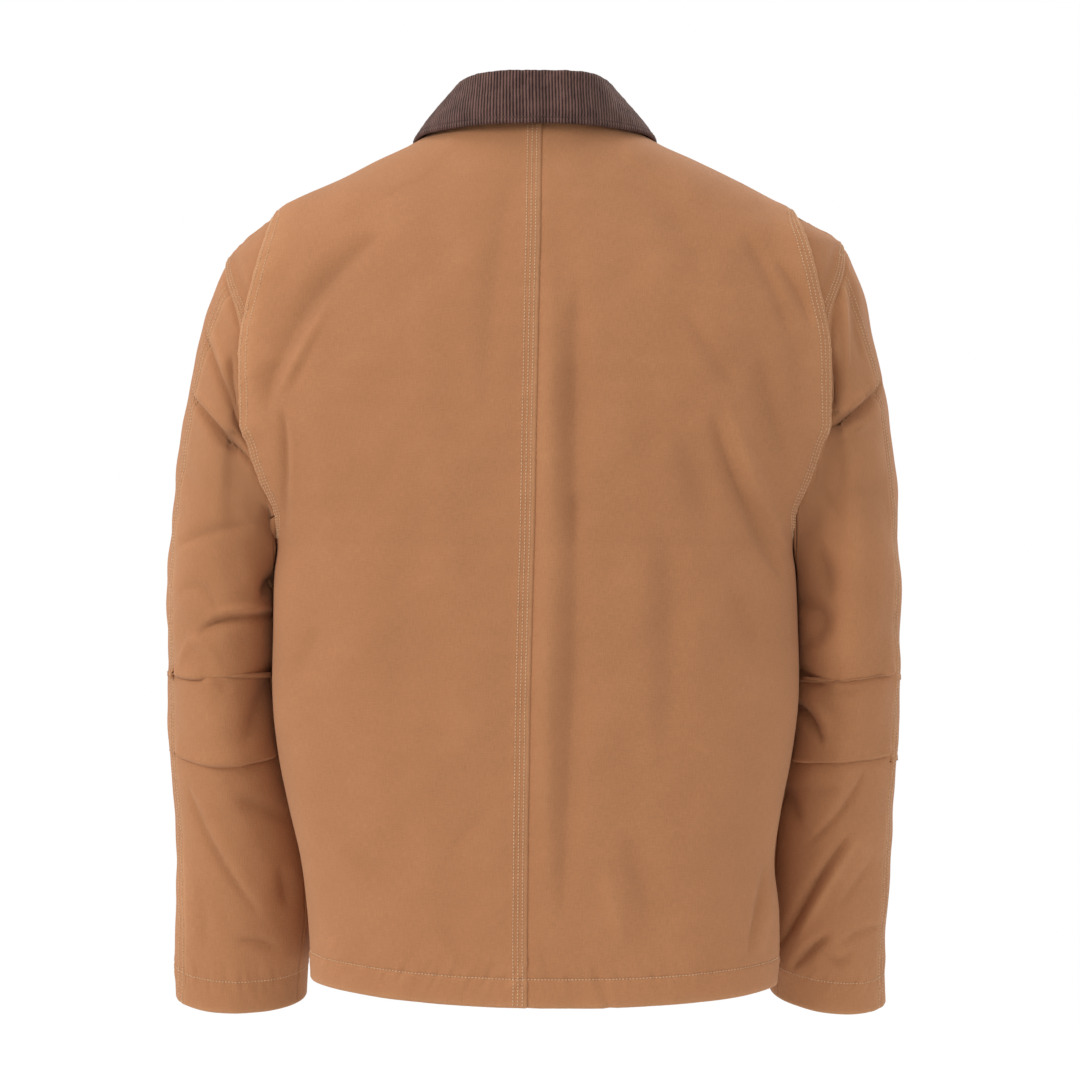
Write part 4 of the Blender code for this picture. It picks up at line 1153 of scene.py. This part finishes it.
def sleeve_panel(side, name, turns, edges, seed):
    hand = "left" if side > 0 else "right"
    grid = sleeve_form(side, turns)
    middle = turns[len(turns) // 2]
    like = (side * math.cos(middle), math.sin(middle), 0.1)
    normal = grid_normals(grid, like)
    x, z = grid[..., 0], grid[..., 2]
    along, up = arc(grid, 1), arc(grid, 0)
    free = 1 - ease(-np.cos(turns), 0.45, 0.85)
    behind, before = ease(np.sin(turns), 0.05, 0.35), ease(-np.sin(turns), 0.05, 0.35)
    rise = crease_rise(hand, 1, x, z) * behind + crease_rise(hand, -1, x, z) * before
    rise += (0.0010 * waves(grid, 0.075, 41 + side) + 0.00040 * waves(grid, 0.028, 44 + side)) * free
    cuff = up[-1:] - up
    rise += -0.00045 * np.exp(-(((cuff - CUFF_DEPTH) / 0.0017) ** 2))
    rise += pucker(cuff - CUFF_DEPTH, along + 0.4 * cuff, 0.012, 0.00042, seed + 2) * (0.3 + 0.7 * free)
    rise += pucker(up - SLEEVE_TUCK_IN, along, 0.010, 0.00024, seed + 3)
    for off in (along, along[:, -1:] - along):
        rise += pucker(off - 0.004, up, 0.008, 0.00016, seed + 4) * free
    rise *= ease(up, SLEEVE_TUCK_IN - 0.001, SLEEVE_TUCK_IN + 0.005)
    grid = grid + normal * rise[..., None]
    loose = ease(up, SLEEVE_TUCK_IN + 0.003, SLEEVE_TUCK_IN + 0.012)
    grid += (clear_of_body(side, grid.copy()) - grid) * loose[..., None]
    normal = grid_normals(grid, like)
    rows = [stitch_row(*beside(grid, normal, "last_row", CUFF_DEPTH))]
    if name.startswith("top"):
        rows += [stitch_row(*beside(grid, normal, "last_column", d, 0.02, 1.0)) for d in EDGE_ROWS]
    sew("stitching_" + name, rows, THREAD)
    finish_panel(name, grid, like, edges, rise)


def sleeve(side):
    hand = "left" if side > 0 else "right"
    full = 2 * math.pi
    under = np.linspace(BACK_SEAM_TURN + 0.008, INNER_SEAM_TURN - 0.012, 56)
    top = np.linspace(INNER_SEAM_TURN + 0.012, full + BACK_SEAM_TURN - 0.008, 94)
    sleeve_panel(side, "under_sleeve_" + hand, under, (("first_column", 2), ("last_row", 10)), 41 + side)
    sleeve_panel(side, "top_sleeve_" + hand, top, (("last_column", 2), ("last_row", 10)), 51 + side)


# ---------------------------------------------------------------- collar

def resample(grid, count):
    """More rows through a grid's rows, on smooth curves."""
    slopes = np.gradient(grid, axis=0)
    at = np.linspace(0, len(grid) - 1, count)
    i = np.minimum(at.astype(int), len(grid) - 2)
    t = (at - i)[:, None, None]
    return (
        (1 + 2 * t) * (1 - t) ** 2 * grid[i]
        + t * (1 - t) ** 2 * slopes[i]
        + t * t * (3 - 2 * t) * grid[i + 1]
        + t * t * (t - 1) * slopes[i + 1]
    )


def collar():
    """The corduroy collar: stand, fold and fall, with its wales from the fold to the edge."""
    turns = np.linspace(0, 180, 37)
    right = [collar_profile(-1, turn) for turn in turns[::-1]]
    left = [collar_profile(1, turn) for turn in turns[1:]]
    grid = resample(np.array(right + left), 780)
    grid = resample(grid.swapaxes(0, 1), 34).swapaxes(0, 1)
    normal = grid_normals(grid, (0, 0.7, 0.7))
    round_neck = arc(grid, 0)
    round_neck -= round_neck[len(grid) // 2]
    down = arc(grid, 1)
    rim = down[:, -1:] - down
    phase = round_neck / WALE + 0.12 * waves(grid, 0.040, 61)
    rise = 0.0006 * waves(grid, 0.050, 63) * ease(rim, 0.0, 0.010) + 0.00016 * waves(grid, 0.007, 64)
    rise += -0.0005 * np.exp(-(((rim - 0.0026) / 0.0012) ** 2))
    grid = grid + normal * rise[..., None]
    normal = grid_normals(grid, (0, 0.7, 0.7))
    rows = [stitch_row(*beside(grid, normal, "last_column", 0.0026), CORDUROY_WALL)]
    rows += [
        stitch_row(*beside(grid, normal, edge, 0.0026, 0.45, 0.97), CORDUROY_WALL)
        for edge in ("first_row", "last_row")
    ]
    sew("stitching_collar", rows, DARK_THREAD, thread_height=0.0009)
    whole = turn_edges(grid, normal, (("last_column", 3),))
    extra = whole.shape[1] - grid.shape[1]
    phase = np.pad(phase, ((0, 0), (0, extra)), mode="edge")
    shell("collar", whole, (0, 0.7, 0.7), CORDUROY, CORDUROY_WALL, {"wales": phase})


# ---------------------------------------------------------------- buttons

def front_face(x, height):
    """The y of the upper front's outer face at the lap."""
    return float(body_y(-1, np.array(x), np.array(height))) - LAP_LIFT - WALL / 2


def button_blank():
    """One button: turned rim and dished face, with four holes cut through."""
    profile = (
        (0.0000, -0.0012), (0.0040, -0.0012), (0.0056, -0.0009), (0.0066, -0.0002), (0.0074, 0.0001),
        (0.0086, -0.0001), (0.0093, -0.0008), (0.0095, -0.0018), (0.0091, -0.0029), (0.0080, -0.0036),
        (0.0055, -0.0039), (0.0000, -0.0039),
    )
    sides = 56
    points = [(0, 0, profile[0][1])]
    for radius, height in profile[1:-1]:
        for k in range(sides):
            turn = 2 * math.pi * k / sides
            points.append((radius * math.cos(turn), radius * math.sin(turn), height))
    points.append((0, 0, profile[-1][1]))
    ring = lambda n, k: 1 + n * sides + k % sides
    faces = [(0, ring(0, k), ring(0, k + 1)) for k in range(sides)]
    for n in range(len(profile) - 3):
        faces += [(ring(n, k), ring(n + 1, k), ring(n + 1, k + 1), ring(n, k + 1)) for k in range(sides)]
    last = len(profile) - 3
    faces += [(len(points) - 1, ring(last, k + 1), ring(last, k)) for k in range(sides)]
    mesh = bpy.data.meshes.new("button_blank")
    mesh.from_pydata(points, [], faces)
    blank = bpy.data.objects.new("button_blank", mesh)
    bpy.context.scene.collection.objects.link(blank)
    drills = []
    for x, y in HOLES:
        bpy.ops.mesh.primitive_cylinder_add(vertices=16, radius=0.00095, depth=0.02, location=(x, y, 0))
        drills.append(bpy.context.object)
        cut = blank.modifiers.new("hole", "BOOLEAN")
        cut.operation, cut.solver, cut.object = "DIFFERENCE", "EXACT", drills[-1]
    graph = bpy.context.evaluated_depsgraph_get()
    drilled = bpy.data.meshes.new_from_object(blank.evaluated_get(graph))
    for spare in [blank, *drills]:
        bpy.data.objects.remove(spare)
    return drilled


def buttons():
    blank = button_blank()
    crosses = []
    for number, height in enumerate(BUTTON_HEIGHTS, 1):
        x = float(body("seam_x", height))
        slope = (front_face(x, height + 0.01) - front_face(x, height - 0.01)) / 0.02
        lean = math.atan(slope)
        out = np.array([0, -math.cos(lean), math.sin(lean)])
        up = np.array([0, math.sin(lean), math.cos(lean)])
        right = np.cross(up, out)
        centre = np.array([x, front_face(x, height), height]) + out * 0.0053
        mesh = blank.copy()
        name = f"button_{number}"
        mesh.name = name + "_look"
        place = np.array([right, up, out])
        co = np.empty(len(mesh.vertices) * 3, np.float32)
        mesh.vertices.foreach_get("co", co)
        mesh.vertices.foreach_set("co", (co.reshape(-1, 3) @ place + centre).astype(np.float32).ravel())
        mesh.update()
        mesh.shade_smooth()
        mesh.materials.clear()
        mesh.materials.append(HORN)
        PIECES[name] = bpy.data.objects.new(name + "_look", mesh)
        bpy.context.scene.collection.objects.link(PIECES[name])
        for (x1, y1), (x2, y2) in (HOLES[0::2], HOLES[1::2]):
            way = unit(right * (x2 - x1) + up * (y2 - y1))
            middle = centre - out * 0.0009
            for shift in (-0.0004, 0.0004):
                crosses.append((middle + np.cross(way, out) * shift, way, out))
    rows = [tuple(np.array([cross[k] for cross in crosses]) for k in range(3))]
    sew("button_thread", rows, DARK_THREAD, stitch_length=0.0054, thread_width=0.0008, thread_height=0.0009)


# ---------------------------------------------------------------- materials

def group(name, inputs, outputs):
    """A shader node group with named sockets: its tree, its inputs inside and its outputs inside."""
    tree = bpy.data.node_groups.new(name, "ShaderNodeTree")
    for label, kind, value in inputs:
        socket = tree.interface.new_socket(label, in_out="INPUT", socket_type="NodeSocket" + kind)
        if value is not None:
            socket.default_value = value
    for label, kind in outputs:
        tree.interface.new_socket(label, in_out="OUTPUT", socket_type="NodeSocket" + kind)
    return tree, tree.nodes.new("NodeGroupInput").outputs, tree.nodes.new("NodeGroupOutput").inputs


def plug(tree, socket, value):
    if isinstance(value, bpy.types.NodeSocket):
        tree.links.new(value, socket)
    else:
        socket.default_value = value


def compute(tree, operation, *values):
    node = tree.nodes.new("ShaderNodeMath")
    node.operation = operation
    for socket, value in zip(node.inputs, values):
        plug(tree, socket, value)
    return node.outputs[0]


def scaled(tree, vector, factors):
    node = tree.nodes.new("ShaderNodeVectorMath")
    node.operation = "MULTIPLY"
    plug(tree, node.inputs[0], vector)
    plug(tree, node.inputs[1], factors)
    return node.outputs[0]


def noise(tree, place, sizes, detail=2.0):
    """Noise from 0 to 1 whose swirls have these sizes along the three axes, in metres."""
    texture = tree.nodes.new("ShaderNodeTexNoise")
    texture.inputs["Scale"].default_value = 1
    texture.inputs["Detail"].default_value = detail
    plug(tree, texture.inputs["Vector"], scaled(tree, place, [1 / size for size in sizes]))
    return texture.outputs["Fac"]


def mix_colour(tree, share, first, second, way="MIX"):
    node = tree.nodes.new("ShaderNodeMix")
    node.data_type, node.blend_type = "RGBA", way
    plug(tree, node.inputs[0], share)
    plug(tree, node.inputs[6], first)
    plug(tree, node.inputs[7], second)
    return node.outputs[2]


def weave_group():
    """Plain weave: crossing threads, and the thick and thin places along them."""
    tree, given, result = group(
        "duck_weave",
        (("Place", "Vector", None), ("Thread spacing", "Float", 0.00060), ("Slub", "Float", 0.5)),
        (("Height", "Float"), ("Tone", "Float")),
    )
    split = tree.nodes.new("ShaderNodeSeparateXYZ")
    tree.links.new(given["Place"], split.inputs[0])
    turns = [
        compute(tree, "SINE", compute(tree, "MULTIPLY", math.pi, compute(tree, "DIVIDE", axis, given["Thread spacing"])))
        for axis in split.outputs[:2]
    ]
    crossing = compute(tree, "MULTIPLY", *turns)
    warp = noise(tree, given["Place"], (0.0009, 0.007, 1))
    weft = noise(tree, given["Place"], (0.006, 0.0008, 1))
    slub = compute(tree, "SUBTRACT", compute(tree, "ADD", warp, weft), 1)
    slub = compute(tree, "MULTIPLY", slub, given["Slub"])
    height = compute(tree, "MULTIPLY_ADD", crossing, 0.22, 0.5)
    tree.links.new(compute(tree, "MULTIPLY_ADD", slub, 1.3, height), result["Height"])
    tree.links.new(compute(tree, "MULTIPLY_ADD", slub, 1.3, 0.5), result["Tone"])
    return tree


def dye_and_shade_group():
    """Worn dye with painted crease light and shade: mottled, paler along rubbed edges, paler on raised creases as
    rubbed wear and painted highlight, and darker in crease troughs, hollows and sunk seams as painted shade.
    """
    tree, given, result = group(
        "worn_dye_and_crease_shade",
        (
            ("Place", "Vector", None), ("Dye", "Color", (0.4, 0.2, 0.1, 1)),
            ("Worn", "Color", (0.6, 0.4, 0.2, 1)), ("Wear", "Float", 0.0),
            ("Relief", "Float", 0.0), ("Tone", "Float", 0.5),
        ),
        (("Color", "Color"),),
    )
    broad = noise(tree, given["Place"], (0.09, 0.09, 0.11), 4)
    close = noise(tree, given["Place"], (0.010, 0.010, 0.013), 3)
    # The cloth's relief times 20: raised creases turn paler as rubbed wear and painted highlight, while troughs,
    # hollows and sunk seams turn darker as painted shade.
    crease_highlight_and_shade = compute(tree, "MULTIPLY", given["Relief"], 20)
    share = compute(tree, "MULTIPLY_ADD", given["Wear"], 0.22, crease_highlight_and_shade)
    share = compute(tree, "MULTIPLY_ADD", compute(tree, "SUBTRACT", close, 0.5), 0.14, share)
    share = compute(tree, "MINIMUM", compute(tree, "MAXIMUM", share, 0), 1)
    colour = mix_colour(tree, share, given["Dye"], given["Worn"])
    bright = compute(tree, "MULTIPLY_ADD", compute(tree, "SUBTRACT", broad, 0.5), 0.07, 1)
    bright = compute(tree, "MULTIPLY_ADD", compute(tree, "SUBTRACT", given["Tone"], 0.5), 0.34, bright)
    # Adds the painted crease highlight and shade to the brightness.
    bright = compute(tree, "ADD", bright, crease_highlight_and_shade)
    bright = compute(tree, "MINIMUM", compute(tree, "MAXIMUM", bright, 0.6), 1.35)
    tint = tree.nodes.new("ShaderNodeCombineColor")
    for socket in tint.inputs[:3]:
        tree.links.new(bright, socket)
    tree.links.new(mix_colour(tree, 1.0, colour, tint.outputs[0], "MULTIPLY"), result["Color"])
    return tree


def fuzz_group():
    """Short nap or twisted thread: a fine uneven height and a colour that varies with it."""
    tree, given, result = group(
        "fuzz",
        (
            ("Place", "Vector", None), ("Low", "Color", (0, 0, 0, 1)), ("High", "Color", (1, 1, 1, 1)),
            ("Raised", "Float", 0.5), ("Size", "Float", 0.0008),
        ),
        (("Color", "Color"), ("Height", "Float")),
    )
    place = scaled(tree, given["Place"], (1, 1, 1))
    divide = tree.nodes.new("ShaderNodeVectorMath")
    divide.operation = "DIVIDE"
    size = tree.nodes.new("ShaderNodeCombineXYZ")
    for socket in size.inputs:
        tree.links.new(given["Size"], socket)
    tree.links.new(place, divide.inputs[0])
    tree.links.new(size.outputs[0], divide.inputs[1])
    fine = noise(tree, divide.outputs[0], (1, 1, 1), 3)
    patch = noise(tree, given["Place"], (0.012, 0.012, 0.012), 3)
    share = compute(tree, "MULTIPLY_ADD", compute(tree, "SUBTRACT", fine, 0.5), 0.9, given["Raised"])
    share = compute(tree, "MULTIPLY_ADD", compute(tree, "SUBTRACT", patch, 0.5), 0.8, share)
    share = compute(tree, "MINIMUM", compute(tree, "MAXIMUM", share, 0), 1)
    tree.links.new(mix_colour(tree, share, given["Low"], given["High"]), result["Color"])
    tree.links.new(fine, result["Height"])
    return tree


def wale_group():
    """Corduroy ribs from a count that grows by one a rib, each rib a little different. Their tone falls with the
    rib's height, painting shade into the grooves.
    """
    tree, given, result = group(
        "corduroy_wales", (("Count", "Float", 0.0), ("Ridge share", "Float", 0.62)), (("Height", "Float"), ("Tone", "Float")),
    )
    wave = compute(tree, "COSINE", compute(tree, "MULTIPLY", given["Count"], 2 * math.pi))
    wave = compute(tree, "MULTIPLY_ADD", wave, 0.5, 0.5)
    height = compute(tree, "POWER", wave, given["Ridge share"])
    own = tree.nodes.new("ShaderNodeTexWhiteNoise")
    own.noise_dimensions = "1D"
    tree.links.new(compute(tree, "ROUND", given["Count"]), own.inputs["W"])
    # Painted groove shade: the rib's height, times a random tone of each rib.
    groove_shade_and_tone = compute(tree, "MULTIPLY", height, compute(tree, "MULTIPLY_ADD", own.outputs["Value"], 0.30, 0.72))
    tree.links.new(height, result["Height"])
    tree.links.new(groove_shade_and_tone, result["Tone"])
    return tree


def material(name, roughness, bump_depth, **constants):
    """A material with its Principled surface and a bump ahead of it."""
    made = bpy.data.materials.new(name)
    made.use_nodes = True
    tree = made.node_tree
    surface = tree.nodes["Principled BSDF"]
    surface.inputs["Roughness"].default_value = roughness
    for label, value in constants.items():
        surface.inputs[label.replace("_", " ")].default_value = value
    bump = tree.nodes.new("ShaderNodeBump")
    bump.inputs["Strength"].default_value = 1
    bump.inputs["Distance"].default_value = bump_depth
    tree.links.new(bump.outputs[0], surface.inputs["Normal"])
    return made, tree, surface.inputs["Base Color"], bump.inputs["Height"]


def use(tree, shared, **values):
    node = tree.nodes.new("ShaderNodeGroup")
    node.node_tree = shared
    for label, value in values.items():
        plug(tree, node.inputs[label.replace("_", " ")], value)
    return node.outputs


def mark_value(tree, name):
    node = tree.nodes.new("ShaderNodeAttribute")
    node.attribute_name = name
    return node.outputs["Fac"]


def object_place(tree):
    return tree.nodes.new("ShaderNodeTexCoord").outputs["Object"]


def canvas_material():
    made, tree, colour, height = material(
        "duck_canvas", 0.88, 0.00035, Sheen_Weight=0.12, Sheen_Roughness=0.55, Specular_IOR_Level=0.22,
        Sheen_Tint=(1.0, 0.86, 0.72, 1),
    )
    layout = tree.nodes.new("ShaderNodeUVMap")
    layout.uv_map = "cloth"
    weave = use(tree, WEAVE, Place=layout.outputs[0])
    # The relief mark paints shade into troughs, hollows and sunk seams and highlight onto raised creases.
    dye = use(
        tree, DYE_AND_SHADE, Place=object_place(tree), Dye=CANVAS_DYE, Worn=CANVAS_WORN_AND_HIGHLIGHT,
        Wear=mark_value(tree, "wear"), Relief=mark_value(tree, "relief"), Tone=weave["Tone"],
    )
    tree.links.new(dye["Color"], colour)
    tree.links.new(weave["Height"], height)
    return made


def corduroy_material():
    made, tree, colour, height = material(
        "corduroy", 0.86, WALE_HEIGHT, Sheen_Weight=0.14, Sheen_Roughness=0.45, Specular_IOR_Level=0.12,
        Sheen_Tint=(0.95, 0.72, 0.66, 1),
    )
    wale = use(tree, WALES, Count=mark_value(tree, "wales"))
    # Mixes from the painted groove shade to the ridge's own colour by the rib's tone, with a fine nap.
    nap = use(
        tree, FUZZ, Place=object_place(tree), Low=CORDUROY_GROOVE_SHADE, High=CORDUROY_RIDGE,
        Raised=wale["Tone"], Size=0.0006,
    )
    tree.links.new(nap["Color"], colour)
    tree.links.new(compute(tree, "MULTIPLY_ADD", nap["Height"], 0.22, wale["Height"]), height)
    return made


def thread_material(name, low, high):
    made, tree, colour, height = material(name, 0.7, 0.00012, Specular_IOR_Level=0.35)
    twist = use(tree, FUZZ, Place=object_place(tree), Low=low, High=high, Raised=0.55, Size=0.0006)
    tree.links.new(twist["Color"], colour)
    tree.links.new(twist["Height"], height)
    return made


def button_material():
    made, tree, colour, height = material("button", 0.36, 0.00004, Coat_Weight=0.3, Coat_Roughness=0.2)
    swirl = use(
        tree, FUZZ, Place=scaled(tree, object_place(tree), (1, 1, 0.25)), Low=(0.022, 0.012, 0.008, 1),
        High=(0.085, 0.048, 0.028, 1), Raised=0.4, Size=0.004,
    )
    tree.links.new(swirl["Color"], colour)
    tree.links.new(swirl["Height"], height)
    return made


# ---------------------------------------------------------------- stage

def lamp(name, place, target, size, power, colour=(1, 1, 1)):
    light = bpy.data.lights.new(name, "AREA")
    light.shape, light.size, light.energy, light.color = "DISK", size, power, colour
    holder = bpy.data.objects.new(name, light)
    bpy.context.scene.collection.objects.link(holder)
    holder.location = place
    holder.rotation_euler = (Vector(target) - Vector(place)).to_track_quat("-Z", "Y").to_euler()


def set_stage():
    scene = bpy.context.scene
    scene.view_settings.view_transform = "Standard"
    world = bpy.data.worlds.new("pale_room")
    scene.world = world
    world.use_nodes = True
    tree = world.node_tree
    seen = tree.nodes.new("ShaderNodeLightPath").outputs["Is Camera Ray"]
    strength = compute(tree, "MULTIPLY_ADD", seen, 1 - ROOM_LIGHT, ROOM_LIGHT)
    tree.nodes["Background"].inputs[0].default_value = (1, 1, 1, 1)
    tree.links.new(strength, tree.nodes["Background"].inputs[1])
    middle = (0, 0, -0.35)
    lamp("key", (3.2, 2.0, 1.1), middle, 1.8, 78, (1.0, 0.985, 0.96))
    lamp("fill", (-2.6, 1.9, 0.3), middle, 2.0, 15, (0.97, 0.985, 1.0))
    lamp("top", (0.4, 0.2, 2.4), middle, 1.6, 18)
    lamp("front_key", (-1.9, -2.6, 1.3), middle, 1.5, 52, (1.0, 0.985, 0.96))
    lamp("front_fill", (2.4, -2.0, 0.2), middle, 2.0, 18)

    bpy.ops.mesh.primitive_circle_add(vertices=96, radius=FLOOR_RADIUS, fill_type="NGON", location=(0, 0, FLOOR))
    floor = bpy.context.object
    floor.name = "floor"
    paint = bpy.data.materials.new("pale_floor")
    paint.use_nodes = True
    tree = paint.node_tree
    tree.nodes["Principled BSDF"].inputs["Base Color"].default_value = (0.93, 0.93, 0.93, 1)
    tree.nodes["Principled BSDF"].inputs["Roughness"].default_value = 0.9
    reach = tree.nodes.new("ShaderNodeVectorMath")
    reach.operation = "LENGTH"
    tree.links.new(object_place(tree), reach.inputs[0])
    fade = tree.nodes.new("ShaderNodeMapRange")
    fade.interpolation_type = "SMOOTHSTEP"
    fade.inputs["From Min"].default_value = 0.25 * FLOOR_RADIUS
    fade.inputs["From Max"].default_value = FLOOR_RADIUS
    fade.inputs["To Min"].default_value = 1
    fade.inputs["To Max"].default_value = 0
    tree.links.new(reach.outputs["Value"], fade.inputs["Value"])
    tree.links.new(fade.outputs[0], tree.nodes["Principled BSDF"].inputs["Alpha"])
    floor.data.materials.append(paint)

    lens = bpy.data.cameras.new("camera")
    lens.sensor_width, lens.lens = 36, 36 * CAMERA_DISTANCE / VIEW_WIDTH
    camera = bpy.data.objects.new("camera", lens)
    scene.collection.objects.link(camera)
    camera.location = (CAMERA_X, CAMERA_DISTANCE, CAMERA_HEIGHT)
    camera.rotation_euler = (math.pi / 2, 0, math.pi)
    scene.camera = camera


# ---------------------------------------------------------------- assembly

PIECES = {}
STITCHING = {}
WEAVE, DYE_AND_SHADE, FUZZ, WALES = weave_group(), dye_and_shade_group(), fuzz_group(), wale_group()
CANVAS = canvas_material()
CORDUROY = corduroy_material()
THREAD = thread_material("topstitch_thread", (0.40, 0.225, 0.115, 1), (0.74, 0.50, 0.31, 1))
DARK_THREAD = thread_material("dark_thread", (0.030, 0.016, 0.013, 1), (0.105, 0.055, 0.043, 1))
HORN = button_material()
STITCHES = stitch_layer()

for side in (1, -1):
    back(side)
    pleat_underlay(side)
    front(side)
    pocket(side)
    sleeve(side)
collar()
buttons()
set_stage()

for name, piece in PIECES.items():
    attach(piece, "root")
    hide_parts(name)
    if name.startswith("button"):
        continue
    sewn = [STITCHING["stitching_" + name]] if "stitching_" + name in STITCHING else []
    if name == "front_left":
        sewn.append(STITCHING["buttonholes"])
for piece in STITCHING.values():
    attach(piece, "root")
